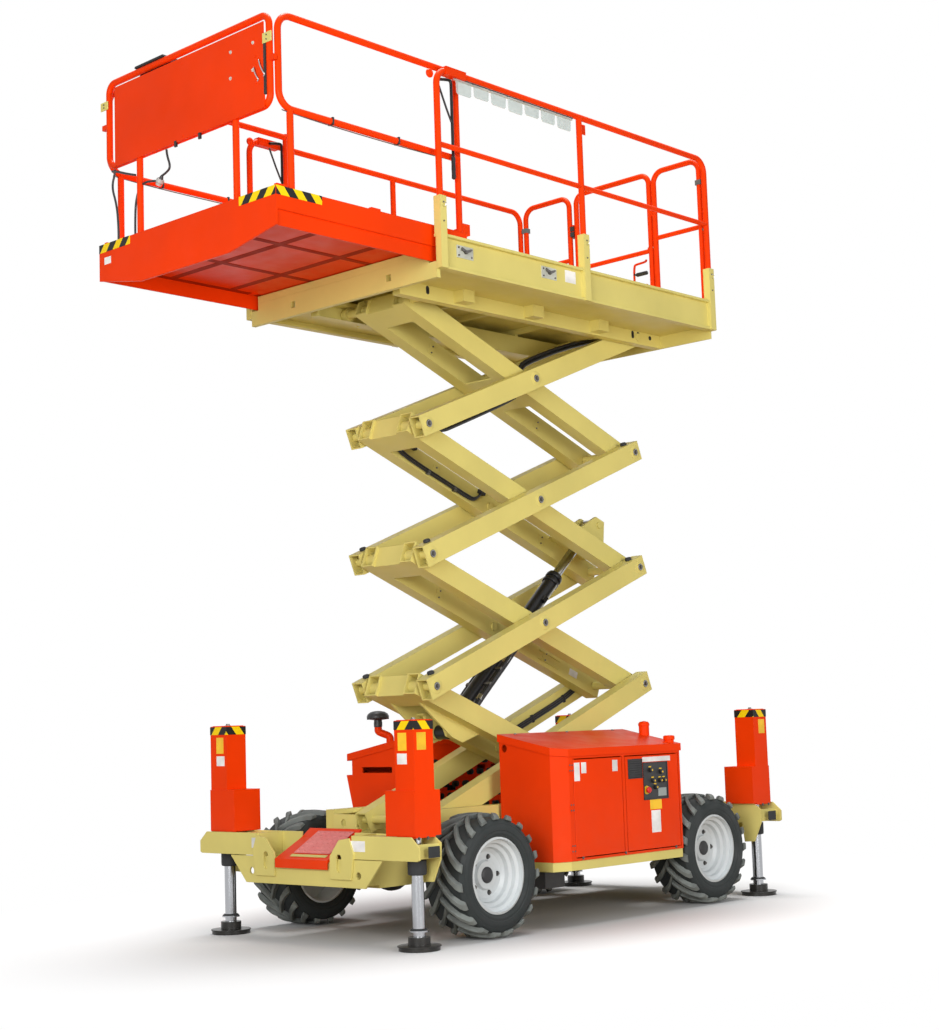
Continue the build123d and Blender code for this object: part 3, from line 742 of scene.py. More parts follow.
class LiftWheelsOperator(bpy.types.Operator):
    """Hub caps, wheel studs and valves"""

    bl_idname = "lift.wheels"
    bl_label = "Wheels"

    def execute(self, context):
        for corner, _, s in CORNERS:
            low, high = BOX[f"wheel_rim_{corner}"]
            mid = (low + high) / 2
            face = 0.768 * s
            kit = Kit(f"hub_{corner}", f"wheel_{corner}")
            out = along((0, s, 0), (mid.x, face, mid.z))
            cap = [
                (0.046, -0.010), (0.046, 0.003), (0.042, 0.007), (0.030, 0.010), (0.014, 0.012),
                (0, 0.0125)
            ]
            turned(kit["black_plastic"], cap, out, 28)
            for k in range(5):
                a = math.radians(72 * k + 36)
                spot = Vector((mid.x + 0.104 * math.cos(a), 0.7475 * s, mid.z + 0.104 * math.sin(a)))
                drum(
                    kit["black_plastic"], spot - Vector((0, s * 0.02, 0)),
                    spot + Vector((0, s * 0.004, 0)), 0.0142, n=16
                )
                bolt(kit["pin_steel"], spot + Vector((0, s * 0.004, 0)), (0, s, 0), 0.009, 0.010, False)
            drum(
                kit["black_rubber"], (mid.x + 0.15, s * 0.742, mid.z), (mid.x + 0.153, s * 0.775, mid.z),
                0.0045, n=8
            )
            kit.close()
        return {"FINISHED"}


# ------------------------------------------------------------------ chassis
class LiftChassisOperator(bpy.types.Operator):
    """Warning bands, labels, grips and small parts of the chassis and its jacks"""

    bl_idname = "lift.chassis"
    bl_label = "Chassis fittings"

    def execute(self, context):
        kit = Kit("chassis", "chassis")
        for sx in (1, -1):
            for s in (1, -1):
                self.column(kit, sx, s)
        self.front(kit)
        self.axles(kit)
        self.rear(kit)
        kit.close()
        self.steps()
        for corner, sx, s in CORNERS:
            jack = Kit(f"jack_{corner}", f"jack_{corner}")
            foot = at(JACK_X * sx, JACK_Y * s)
            dish = [(0, 0.020), (0.118, 0.020), (0.118, 0.026), (0.066, 0.029), (0, 0.029)]
            turned(jack["black_paint"], dish, foot, 32)
            gaiter = [(0.035, 0.100), (0.046, 0.100), (0.049, 0.106), (0.040, 0.114), (0.035, 0.114)]
            turned(jack["black_rubber"], gaiter, foot, 28, True)
            jack.close()
        return {"FINISHED"}

    def steps(self):
        """The rear steps, kept below the hoods so that nothing stands above the chassis"""
        low, high = BOX["rear_steps"]
        bm = bmesh.new()
        side = [
            (high.x, 0.360), (-1.742, low.z), (low.x, low.z), (low.x, 0.340), (-1.774, 0.640),
            (high.x, 0.640)
        ]
        for y in (low.y, high.y - 0.010):
            plate(bm, [(x, y, z) for x, z in side], (0, 0.010, 0))
        for x, z in ((-1.770, 0.310), (-1.748, 0.596)):
            bar(bm, x - 0.028, x + 0.028, low.y + 0.007, high.y - 0.007, z, z + 0.024)
            for k in range(9):
                y = -0.160 + 0.040 * k
                drum(bm, (x, y, z + 0.0235), (x, y, z + 0.0275), 0.009, 0.006, 10)
        ob = piece("rear_step_frame", bm, "chassis", "cream_paint", bevel=0.0012, slot="cream_paint")
        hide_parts("rear_steps")

    def column(self, kit, sx, s):
        """Band, cap, labels and leg guide of one jack"""
        mid = Vector((JACK_X * sx, JACK_Y * s, 0))
        for finish_name, half, z0, z1 in (
            ("hazard_band", 0.0755, 1.166, 1.2125), ("orange_paint", 0.0655, 1.212, 1.219)
        ):
            bar(kit[finish_name], mid.x - half, mid.x + half, mid.y - half, mid.y + half, z0, z1)
        xf, yf = 1.660 * sx, 0.862 * s
        bolt(kit["pin_steel"], (mid.x, mid.y, 1.219), (0, 0, 1), 0.012, 0.009)
        if sx > 0:
            label(kit, "yellow_label", "x", xf, 0.741 * s, 0.807 * s, 1.055, 1.150)
            label(kit, "white_label", "x", xf, 0.733 * s, 0.807 * s, 0.982, 1.040)
        if s > 0:
            label(kit, "yellow_label", "y", yf, 1.568 * sx, 1.637 * sx, 1.057, 1.150)
        for x in (1.640, 1.573):
            bolt(kit["pin_steel"], (x * sx, yf, 0.590), (0, s, 0), 0.006, 0.005)
        # a black patch paints the shade inside the open end of the beam; then the guide of the leg
        end = BOX["front_outrigger_beam" if sx > 0 else "rear_outrigger_beam"][1].y * s
        label(kit, "black_rubber", "y", end, 1.545 * sx, 1.632 * sx, 0.488, 0.548, 0.002)
        guide = [(0.0375, 0.392), (0.050, 0.396), (0.052, 0.410), (0.052, 0.470), (0.0375, 0.476)]
        turned(kit["black_rubber"], guide, Matrix.Translation(mid), 28, True)

    def front(self, kit):
        for y0, y1 in ((-0.445, -0.327), (0.391, 0.508)):
            label(kit, "white_label", "x", 1.702, y0, y1, 0.515, 0.573)
        # raised grips on the sloping step
        ahead, up = Vector((0.270, 0, -0.154)).normalized(), Vector((0.495, 0, 0.869))
        corner = Vector((1.452, 0, 0.616)) + up * 0.0005
        near, far = corner + ahead * 0.030, corner + ahead * 0.250
        right, left = Vector((0, -0.115, 0)), Vector((0, 0.185, 0))
        plate(kit["tray_grip"], [near + right, far + right, far + left, near + left], up * 0.002)
        near, far = near + ahead * 0.232, far + ahead * 0.036
        plate(kit["cream_paint"], [near + right, far + right, far + left, near + left], up * 0.002)
        for i in range(6):
            for j in range(7):
                spot = corner + ahead * (0.050 + 0.036 * i) + up * 0.001
                spot.y = -0.092 + 0.0425 * j
                drum(kit["tray_grip"], spot, spot + up * 0.005, 0.0095, 0.0065, 8)

    def axles(self, kit):
        for name, sx in (("front_axle", 1), ("rear_axle", -1)):
            low, high = BOX[name]
            x, z = (low.x + high.x) / 2, HUB_Z
            # gear case with its axle tubes and bolts
            bulge = [(0.062, 0.12), (0.088, 0.085), (0.112, 0.04)]
            case = [(0, -0.12), *((r, -y) for r, y in bulge), (0.118, 0.0), *reversed(bulge), (0, 0.12)]
            turned(kit["engine_cast"], case, along((0, 1, 0), (x, 0.0, z)), 24)
            for s in (1, -1):
                drum(kit["engine_cast"], (x, 0.12 * s, z), (x, 0.44 * s, z), 0.046, 0.040, 16)
            drum(
                kit["black_paint"], (x - 0.10 * sx, 0.02, z), (x - 0.30 * sx, 0.02, z + 0.02), 0.040,
                0.034, 16
            )
            for k in range(8):
                a = math.radians(45 * k)
                u, v = x + 0.098 * math.cos(a), z + 0.098 * math.sin(a)
                drum(kit["pin_steel"], (u, 0.046, v), (u, 0.060, v), 0.007, n=6)
        # steering ram across the front axle
        x = 1.02 - 0.135
        drum(kit["black_paint"], (x, -0.16, 0.375), (x, 0.16, 0.375), 0.028, n=18)
        for s in (1, -1):
            drum(kit["bright_steel"], (x, 0.16 * s, 0.375), (x, 0.36 * s, 0.375), 0.012, n=12)
            drum(kit["pin_steel"], (x, 0.150 * s, 0.375), (x, 0.172 * s, 0.375), 0.032, n=18)
        for y, tag in ((-0.12, "a"), (0.12, "b")):
            run = [
                (x, y, 0.404), (x, y, 0.44), (x - 0.05, y * 0.7, 0.48), (x - 0.16, y * 0.5, 0.50),
                (x - 0.30, y * 0.5, 0.50)
            ]
            hose(f"steering_hose_{tag}", "chassis", run, 0.007)

    def rear(self, kit):
        for s in (1, -1):
            for z in (0.40, 0.60):
                bolt(kit["pin_steel"], (-1.70, 0.2 * s, z), (-1, 0, 0), 0.006, 0.005, False)


# ------------------------------------------------------------------ hoods
class LiftHoodsOperator(bpy.types.Operator):
    """Panels, labels, locks and vents of the two side hoods"""

    bl_idname = "lift.hoods"
    bl_label = "Hoods"

    def execute(self, context):
        self.left_front()
        self.left_rear()
        slope = at(0, -0.790, 0.372) @ Matrix.Rotation(math.radians(HOOD_SLOPE), 4, "X")
        self.right(slope)
        self.shells()
        return {"FINISHED"}

    def latch(self, kit, x, y, z, s):
        """A paddle lock in its dish"""
        dish = [(0.034, 0), (0.034, 0.003), (0.030, 0.005), (0.026, 0.003), (0, 0.003)]
        turned(kit["black_plastic"], dish, along((0, s, 0), (x, y, z)), 24)
        bar(kit["black_plastic"], x - 0.006, x + 0.006, y, y + 0.012 * s, z - 0.022, z + 0.022)
        drum(kit["bright_steel"], (x, y + 0.004 * s, z + 0.012), (x, y + 0.014 * s, z + 0.012), 0.005, n=10)

    def hinges(self, kit, x, y, s, heights):
        for z in heights:
            bar(kit["orange_paint"], x - 0.020, x + 0.020, y, y + 0.003 * s, z - 0.028, z + 0.028)
            for dx, dz in ((-0.010, -0.016), (0.010, -0.016), (-0.010, 0.016), (0.010, 0.016)):
                bolt(kit["pin_steel"], (x + dx, y + 0.003 * s, z + dz), (0, s, 0), 0.0048, 0.004, False)

    def left_front(self):
        kit, y = Kit("door_left_front", "door_left_front"), HOOD_FACE
        label(kit, "white_label", "y", y, 0.302, 0.352, 0.831, 0.938)
        label(kit, "white_label", "y", y, 0.241, 0.286, 0.874, 0.938)
        label(kit, "white_label", "y", y, -0.053, -0.004, 0.874, 0.941)
        kit.close()

    def left_rear(self):
        kit, y = Kit("door_left_rear", "door_left_rear"), HOOD_FACE
        # vent with its slats
        for z in (0.821, 0.935):
            bar(kit["black_plastic"], -0.291, -0.152, y - 0.001, y + 0.004, z, z + 0.004)
        for x in (-0.291, -0.156):
            bar(kit["black_plastic"], x, x + 0.004, y - 0.001, y + 0.004, 0.821, 0.939)
        bar(kit["black_plastic"], -0.289, -0.154, y - 0.001, y + 0.001, 0.823, 0.937)
        for k in range(8):
            z = 0.829 + 0.0136 * k
            slat = [(y, z), (y + 0.006, z - 0.003), (y + 0.006, z - 0.001), (y, z + 0.003)]
            plate(kit["black_plastic"], [(-0.287, *spot) for spot in slat], (0.131, 0, 0))
        # ground control panel
        bar(kit["black_plastic"], -0.535, -0.303, y - 0.001, y + 0.0025, 0.693, 0.908)
        for x0, x1, z0, z1 in (
            (-0.541, -0.297, 0.908, 0.914), (-0.541, -0.297, 0.687, 0.693),
            (-0.541, -0.535, 0.687, 0.914), (-0.303, -0.297, 0.687, 0.914)
        ):
            bar(kit["black_plastic"], x0, x1, y - 0.001, y + 0.006, z0, z1)
        knob = [(0.012, 0), (0.014, 0.004), (0.012, 0.016), (0.008, 0.019), (0, 0.019)]
        for x, z in (
            (-0.389, 0.801), (-0.412, 0.761), (-0.366, 0.866), (-0.469, 0.852), (-0.46, 0.80),
            (-0.50, 0.80)
        ):
            turned(kit["black_plastic"], knob, along((0, 1, 0), (x, y + 0.003, z)), 16)
            bar(kit["yellow_plastic"], x - 0.012, x + 0.012, y + 0.001, y + 0.0035, z + 0.017, z + 0.024)
            drum(kit["yellow_plastic"], (x, y + 0.020, z), (x, y + 0.0225, z), 0.006, n=12)
        drum(kit["yellow_plastic"], (-0.325, y + 0.001, 0.747), (-0.325, y + 0.006, 0.747), 0.026, n=28)
        stop = [(0.010, 0), (0.010, 0.012), (0.019, 0.014), (0.020, 0.020), (0.014, 0.027), (0, 0.029)]
        turned(kit["red_plastic"], stop, along((0, 1, 0), (-0.325, y + 0.004, 0.747)), 24)
        bar(kit["clear_tab"], -0.520, -0.440, y + 0.002, y + 0.005, 0.705, 0.755)
        label(kit, "white_label", "y", y, -0.576, -0.296, 0.917, 0.947)
        label(kit, "yellow_label", "y", y, -0.473, -0.357, 0.627, 0.686)
        label(kit, "white_label", "y", y, -0.457, -0.366, 0.487, 0.621)
        kit.close()

    def right(self, slope):
        for name, x0, x1, lock in (
            ("door_right_front", -0.098, 0.363, -0.060), ("door_right_rear", -0.660, -0.122, -0.160)
        ):
            kit = Kit(name, name)
            self.latch(kit, lock, 0.0, 0.335, -1)
            for k in range(9):
                z = 0.12 + 0.026 * k
                louvre = [(0.0, z), (-0.009, z - 0.003), (-0.009, z - 0.006), (0.0, z - 0.016)]
                plate(kit["orange_paint"], [(x0 + 0.10, *spot) for spot in louvre], (x1 - x0 - 0.20, 0, 0))
            kit.close(slope)

    def shells(self):
        kit = Kit("hood", "chassis")
        self.hinges(kit, 0.384, HOOD_FACE, 1, (0.910, 0.680, 0.445))
        for x in (0.30, -0.10, -0.60):
            bolt(kit["pin_steel"], (x, HOOD_FACE, 0.386), (0, 1, 0), 0.006, 0.004)
        # feet below the left hood
        bar(kit["black_paint"], 0.206, 0.382, 0.56, 0.64, 0.205, 0.300)
        for s in (1, -1):
            for x in (-0.55, -0.10, 0.38):
                top = 1.117 - 0.2113 * 0.02 if s > 0 else 1.102 - 0.181 * 0.02
                bolt(kit["pin_steel"], (x, 0.440 * s, top), (0, 0, 1), 0.007, 0.004)
        # lamp and filler neck, both painted over
        lamp = [
            (0, -0.02), (0.033, -0.02), (0.033, 0.078), (0.036, 0.080), (0.036, 0.092), (0.028, 0.104),
            (0, 0.110)
        ]
        turned(kit["orange_paint"], lamp, at(-0.672, 0.600, 1.055), 28)
        neck = [
            (0, -0.02), (0.030, -0.02), (0.030, 0.030), (0.036, 0.032), (0.036, 0.052), (0.030, 0.058),
            (0, 0.060)
        ]
        turned(kit["orange_paint"], neck, at(-0.645, 0.815, 1.012), 28)
        cap = [
            (0, 0), (0.036, 0), (0.040, 0.004), (0.040, 0.022), (0.035, 0.028), (0.012, 0.030), (0, 0.030)
        ]
        turned(kit["black_plastic"], cap, at(-0.40, -0.74, 1.042), 24)
        # punched openings of the right hood's inner wall, drawn as thin black patches that paint the shade
        # inside them
        for i in range(12):
            for j in range(8):
                x, z = -0.60 + 0.094 * i + 0.047 * (j % 2), 0.44 + 0.072 * j
                if x > 0.46:
                    continue
                for dx in (-0.016, 0.016):
                    drum(kit["black_rubber"], (x + dx, -0.4262, z), (x + dx, -0.4238, z), 0.019, n=14)
                bar(kit["black_rubber"], x - 0.016, x + 0.016, -0.4262, -0.4238, z - 0.019, z + 0.019)
        kit.close()


class LiftEngineOperator(bpy.types.Operator):
    """Engine fittings and the air intake beside the right hood"""

    bl_idname = "lift.engine"
    bl_label = "Engine"

    def execute(self, context):
        kit = Kit("engine", "chassis")
        face = -0.480
        for x, z, r in ((0.06, 0.52, 0.075), (0.22, 0.62, 0.052), (0.33, 0.50, 0.045)):
            drum(kit["black_paint"], (x, face, z), (x, face + 0.030, z), r, n=32)
            drum(kit["bright_steel"], (x, face + 0.028, z), (x, face + 0.034, z), r * 0.4, n=16)
        bar(kit["black_rubber"], 0.06, 0.22, face + 0.012, face + 0.020, 0.575, 0.590)
        for k in range(7):
            bar(kit["engine_cast"], -0.055, 0.415, -0.475 - 0.045 * k, -0.480 - 0.045 * k, 0.815, 0.828)
        rocker = [(-0.02, -0.72, 0.80), (-0.02, -0.52, 0.80), (-0.02, -0.54, 0.832), (-0.02, -0.70, 0.832)]
        plate(kit["black_paint"], rocker, (0.40, 0, 0))
        filter_can = [(0, 0), (0.052, 0), (0.056, 0.006), (0.056, 0.17), (0.050, 0.18), (0, 0.18)]
        turned(kit["black_plastic"], filter_can, along((1, 0, 0), (0.10, -0.50, 0.86)), 28)
        for x in (0.13, 0.25):
            drum(kit["bright_steel"], (x, -0.50, 0.86), (x + 0.012, -0.50, 0.86), 0.058, n=28)
        kit.close()
        for k, (x, z) in enumerate(((0.02, 0.80), (0.30, 0.74), (0.36, 0.60))):
            run = [
                (x, -0.49, z), (x, -0.455, z), (x - 0.05, -0.440, z - 0.06), (x - 0.12, -0.435, z - 0.16),
                (x - 0.20, -0.44, z - 0.22)
            ]
            hose(f"engine_hose_{k}", "chassis", run, 0.012)
        self.intake()
        return {"FINISHED"}

    def intake(self):
        kit = Kit("intake", "chassis")
        low, high = BOX["air_intake"]
        x, y, top = 0.436, -0.690, high.z
        cap = [
            (0, -0.045), (0.026, -0.045), (0.026, 0.0), (0.062, 0.004), (0.071, 0.012), (0.072, 0.024),
            (0.064, 0.040), (0.046, 0.052), (0.020, 0.058), (0, 0.059)
        ]
        turned(kit["black_plastic"], cap, at(x, y, top - 0.060), 36)
        for k in range(20):
            a = math.radians(18 * k)
            spot = Vector((x + 0.069 * math.cos(a), y + 0.069 * math.sin(a), 0))
            drum(
                kit["black_plastic"], spot + Vector((0, 0, top - 0.056)),
                spot + Vector((0, 0, top - 0.040)), 0.003, n=6
            )
        drum(kit["black_plastic"], (x, y, top - 0.100), (x, y, top - 0.073), 0.0275, n=24)
        bolt(kit["pin_steel"], (x + 0.028, y, top - 0.079), (1, 0, 0), 0.004, 0.006, False)
        kit.close()
        foot = [
            (0.400, -0.620, low.z), (0.400, -0.620, 1.085), (0.400, -0.620, 1.120),
            (0.418, -0.655, 1.135), (x, y, 1.150), (x, y, 1.170), (x, y, 1.190)
        ]
        pipe = hose("intake_pipe", "chassis", foot, 0.0245, "orange_paint")
        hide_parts("air_intake")


# ------------------------------------------------------------------ scissor
class LiftScissorOperator(bpy.types.Operator):
    """Pivot bolts, stops and the hoses that run along the arms"""

    bl_idname = "lift.scissor"
    bl_label = "Scissor"

    def execute(self, context):
        for stage in range(1, 5):
            self.outer(stage)
            self.inner(stage)
        return {"FINISHED"}

    def pivot(self, kit, x, s, head=0.009):
        """A pin head on an outer face; a low one has no bolt"""
        disc = [(0.016, 0), (0.046, 0), (0.046, 0.0014), (0.042, 0.0026), (0.016, 0.0026)]
        turned(kit["cream_paint"], disc, along((0, s, 0), (x, (OUTER_Y - 0.0004) * s, 0)), 32, True)
        washer = [(0, 0), (0.0235, 0), (0.0235, head - 0.002), (0.021, head), (0, head)]
        turned(kit["pin_steel"], washer, along((0, s, 0), (x, (OUTER_Y + 0.001) * s, 0)), 28)
        face = OUTER_Y + head + 0.0005
        if head > 0.006:
            bolt(kit["pin_steel"], (x, face * s, 0), (0, s, 0), 0.0115, 0.008)
        drum(kit["bright_steel"], (x, face * s, 0), (x, (face + 0.0013) * s, 0), 0.020, n=24)

    def outer(self, stage):
        kit, place = Kit(f"outer_arm_{stage}", f"outer_scissor_{stage}"), arm_place(stage, "outer")
        for s in (1, -1):
            for x in (-HALF, 0.0, HALF):
                if not ((stage == 1 and x > 0) or (stage == 4 and x < 0)):
                    self.pivot(kit, x, s, 0.005 if stage == 1 and x == 0.0 else 0.009)
            for x in (HALF - 0.03, -HALF + 0.04) if stage in (2, 3) else ():
                stop = [(0, 0), (0.022, 0), (0.022, 0.015), (0.017, 0.021), (0, 0.021)]
                turned(kit["black_rubber"], stop, at(x, 0.276 * s, DEPTH - 0.001), 20)
            bar(kit["cream_paint"], 0.28, 0.284, OUTER_Y * s, 0.231 * s, -DEPTH - 0.001, -DEPTH + 0.003)
        if stage == 4:
            for y, dz in ((0.096, 0.0), (0.090, 0.021), (0.070, 0.008)):
                run = [
                    (0.79, -0.070), (0.74, -0.113), (0.60, -0.113), (0.20, -0.108), (0.02, -0.100),
                    (-0.04, -0.09), (-0.10, -0.07), (-0.14, 0.06), (-0.22, 0.08), (-0.60, 0.078),
                    (-0.88, 0.055)
                ]
                run = [(0.82, y, -0.045), *((x, y, z + dz) for x, z in run), (-1.02, y, 0.04)]
                hose(f"arm_hose_top_{round(y * 1000)}", "outer_scissor_4", run, 0.011, place=place)
        if stage == 1:
            for k, z in enumerate((0.012, -0.002, -0.016)):
                run = [
                    (x, -0.2230, z + dz)
                    for x, dz in ((-1.00, 0.02), (-0.90, 0), (-0.50, 0), (-0.12, 0), (-0.08, 0.02))
                ]
                hose(f"arm_hose_low_{k}", "outer_scissor_1", run, 0.0071, place=place)
            for x in (-0.85, -0.50, -0.16):
                bar(kit["black_rubber"], x - 0.010, x + 0.010, -0.2315, -0.2155, -0.028, 0.024)
        kit.close(place)

    def inner(self, stage):
        kit, place = Kit(f"inner_arm_{stage}", f"inner_scissor_{stage}"), arm_place(stage, "inner")
        for s in (1, -1):
            for x in (-HALF * 0.5, HALF * 0.5):
                bar(kit["cream_paint"], x - 0.030, x + 0.030, 0.115 * s, 0.112 * s, -0.035, 0.035)
                for dz in (-0.022, 0.022):
                    bolt(kit["pin_steel"], (x, 0.112 * s, dz), (0, -s, 0), 0.006, 0.005, False)
        if stage == 3:
            run = [
                (0.765, 0.040), (0.875, 0.010), (0.895, -0.022), (0.86, -0.040), (0.70, -0.047),
                (0.45, -0.045), (0.23, -0.045), (0.17, -0.038), (0.14, 0.0), (0.11, 0.050)
            ]
            run = [(x, -0.098, z) for x, z in run]
            hose("arm_hose_middle", "inner_scissor_3", run, 0.0085, place=place)
            beside = [(x - 0.010, y, z + 0.017) for x, y, z in run[:-1]]
            hose("arm_hose_middle_b", "inner_scissor_3", beside, 0.0065, place=place)
            for x, z in ((0.775, 0.045), (0.115, 0.045)):
                bar(kit["black_rubber"], x - 0.026, x + 0.026, -0.1155, -0.085, z - 0.012, z + 0.016)
            for x in (0.60, 0.35):
                bar(kit["pin_steel"], x - 0.010, x + 0.010, -0.1155, -0.090, -0.058, -0.032)
        if stage == 2:
            label(kit, "white_label", "y", -0.1142, -0.875, -0.79, -0.022, 0.022)
            for z in (0.020, -0.036):
                bar(kit["cream_paint"], -0.68, -0.46, -0.116, -0.108, z, z + 0.006)
        kit.close(place)


class LiftCylinderOperator(bpy.types.Operator):
    """Hoses, fittings and valves on the lift cylinder"""

    bl_idname = "lift.cylinder"
    bl_label = "Lift cylinder"

    def execute(self, context):
        foot, head = CYLINDER
        reach, side = (head - foot).normalized(), Vector((0, 1, 0))
        place = Matrix.Translation(foot) @ Matrix((reach, side, reach.cross(side))).transposed().to_4x4()
        kit = Kit("cylinder", "lift_barrel")
        for x0, x1, r in (
            (0.10, 0.125, 0.050), (0.70, 0.722, 0.0495), (1.40, 1.425, 0.0545), (1.446, 1.470, 0.0545)
        ):
            ring = [
                (0.044, x0), (r, x0), (r + 0.002, x0 + 0.004), (r + 0.002, x1 - 0.004), (r, x1),
                (0.044, x1)
            ]
            turned(kit["black_paint"], ring, along((1, 0, 0), (0, 0, 0)), 32, True)
        # valve block near the foot, with its unions
        bar(kit["engine_cast"], 0.150, 0.262, -0.030, 0.030, 0.040, 0.088)
        bar(kit["bright_steel"], 0.175, 0.225, -0.052, -0.030, 0.048, 0.080)
        for x, y in ((0.17, 0.0), (0.24, 0.012), (0.24, -0.014)):
            drum(kit["bright_steel"], (x, y, 0.086), (x, y, 0.104), 0.010, n=6)
        for y in (-0.090, -0.066, 0.066, 0.090):
            drum(kit["bright_steel"], (0.30, y, 0.010), (0.345, y, 0.010), 0.0115, n=6)
            drum(kit["bright_steel"], (0.640, y, 0.010), (0.690, y, 0.010), 0.0125, n=6)
        for x in (0.42, 0.56, 0.80):
            bar(kit["pin_steel"], x, x + 0.022, -0.103, 0.103, -0.006, 0.004)
        bar(kit["black_paint"], 1.22, 1.262, 0.038, 0.066, -0.016, 0.016)
        bar(kit["black_paint"], 0.96, 0.99, 0.038, 0.062, -0.014, 0.014)
        kit.close(place)
        lanes = (
            (-0.092, 0.008), (-0.068, 0.012), (0.068, 0.012), (0.092, 0.008), (0.080, 0.032),
            (-0.080, 0.032)
        )
        for k, (y, z) in enumerate(lanes):
            run = [
                (0.170, y * 0.3, 0.060), (0.22, y * 0.8, 0.050), (0.30, y, z), (0.50, y, z), (0.68, y, z),
                (0.84, y * 0.90, z), (0.93, y * 0.72, z)
            ]
            hose(f"cylinder_hose_{k}", "lift_barrel", run, 0.0115, place=place)
        run = [
            (0.84, 0.060, 0.018), (1.10, 0.054, 0.018), (1.34, 0.054, 0.018), (1.405, 0.050, 0.018),
            (1.43, 0.040, 0.010)
        ]
        hose("cylinder_pipe", "lift_barrel", run, 0.006, "bright_steel", place)
        return {"FINISHED"}


# ------------------------------------------------------------------ platform
class LiftPlatformOperator(bpy.types.Operator):
    """Deck tread, side fittings and the ribs below the main deck"""

    bl_idname = "lift.platform"
    bl_label = "Main deck"

    def execute(self, context):
        kit = Kit("deck", "platform")
        checker("deck_tread", "platform", "cream_paint", (-1.259, -0.651, DECK_FLOOR), 41, 22)
        for s in (1, -1):
            self.side(kit, s)
        self.under(kit)
        kit.close()
        return {"FINISHED"}

    def side(self, kit, s):
        web = 0.826 * s
        for x0 in (1.029, 0.291):
            x1, z0, z1 = x0 + 0.138, 3.838, 3.911
            label(kit, "zinc_plate", "y", web, x0, x1, z0, z1, 0.004)
            for x in (x0 + 0.016, x1 - 0.016):
                for z in (z0 + 0.014, z1 - 0.014):
                    bolt(kit["pin_steel"], (x, web + 0.004 * s, z), (0, s, 0), 0.006, 0.005, False)
            # wing screw
            mid = (x0 + x1) / 2
            drum(kit["pin_steel"], (mid, web, 3.874), (mid, web + 0.022 * s, 3.874), 0.010, n=16)
            near = min(web + 0.012 * s, web + 0.019 * s)
            for turn in (1, -1):
                wing = ((0, 3.868), (0.034, 3.880), (0.038, 3.898), (0, 3.884))
                plate(kit["pin_steel"], [(mid + dx * turn, near, z) for dx, z in wing], (0, 0.007, 0))
        if s > 0:
            label(kit, "white_label", "y", web, 0.107, 0.207, 3.846, 3.922)
        # bolts of the rail sockets
        for x in (1.298, 0.025, -1.290):
            for z in (4.020, 4.130):
                bolt(kit["pin_steel"], (x, 0.859 * s, z), (0, s, 0), 0.0055, 0.005, False)
        # weld runs on the longitudinal beam
        for k in range(9):
            x = 0.10 + 0.044 * k
            drum(kit["cream_paint"], (x, 0.3905 * s, 3.8215), (x + 0.026, 0.3905 * s, 3.8215), 0.0035, n=6)
        # slots and holes of the beam, drawn as thin black patches that paint the shade inside them
        inner, outer = BEAM_FACE * s, (BEAM_FACE + 0.0017) * s
        for x in (0.966, -1.005, -1.065):
            for z in (3.748, 3.772):
                drum(kit["black_rubber"], (x, inner, z), (x, outer, z), 0.014, n=16)
            bar(kit["black_rubber"], x - 0.014, x + 0.014, inner, outer, 3.748, 3.772)
        drum(kit["black_rubber"], (-1.195, inner, 3.760), (-1.195, outer, 3.760), 0.015, n=20)

    def under(self, kit):
        for y in (-0.72, -0.54, 0.54, 0.72):
            bar(kit["cream_paint"], -1.24, 1.24, y - 0.012, y + 0.012, 3.8650, DECK_FLOOR)
        # cable run and clips on the rear member
        for x in (-1.10, -0.55, 0.55, 1.10):
            bar(kit["pin_steel"], x - 0.009, x + 0.009, 0.412, 0.444, 3.858, DECK_FLOOR)
        run = [
            (x, 0.428, z)
            for x, z in ((-1.18, 3.850), (-1.10, 3.862), (0.0, 3.862), (1.10, 3.862), (1.18, 3.850))
        ]
        hose("deck_cable", "platform", run, 0.006)


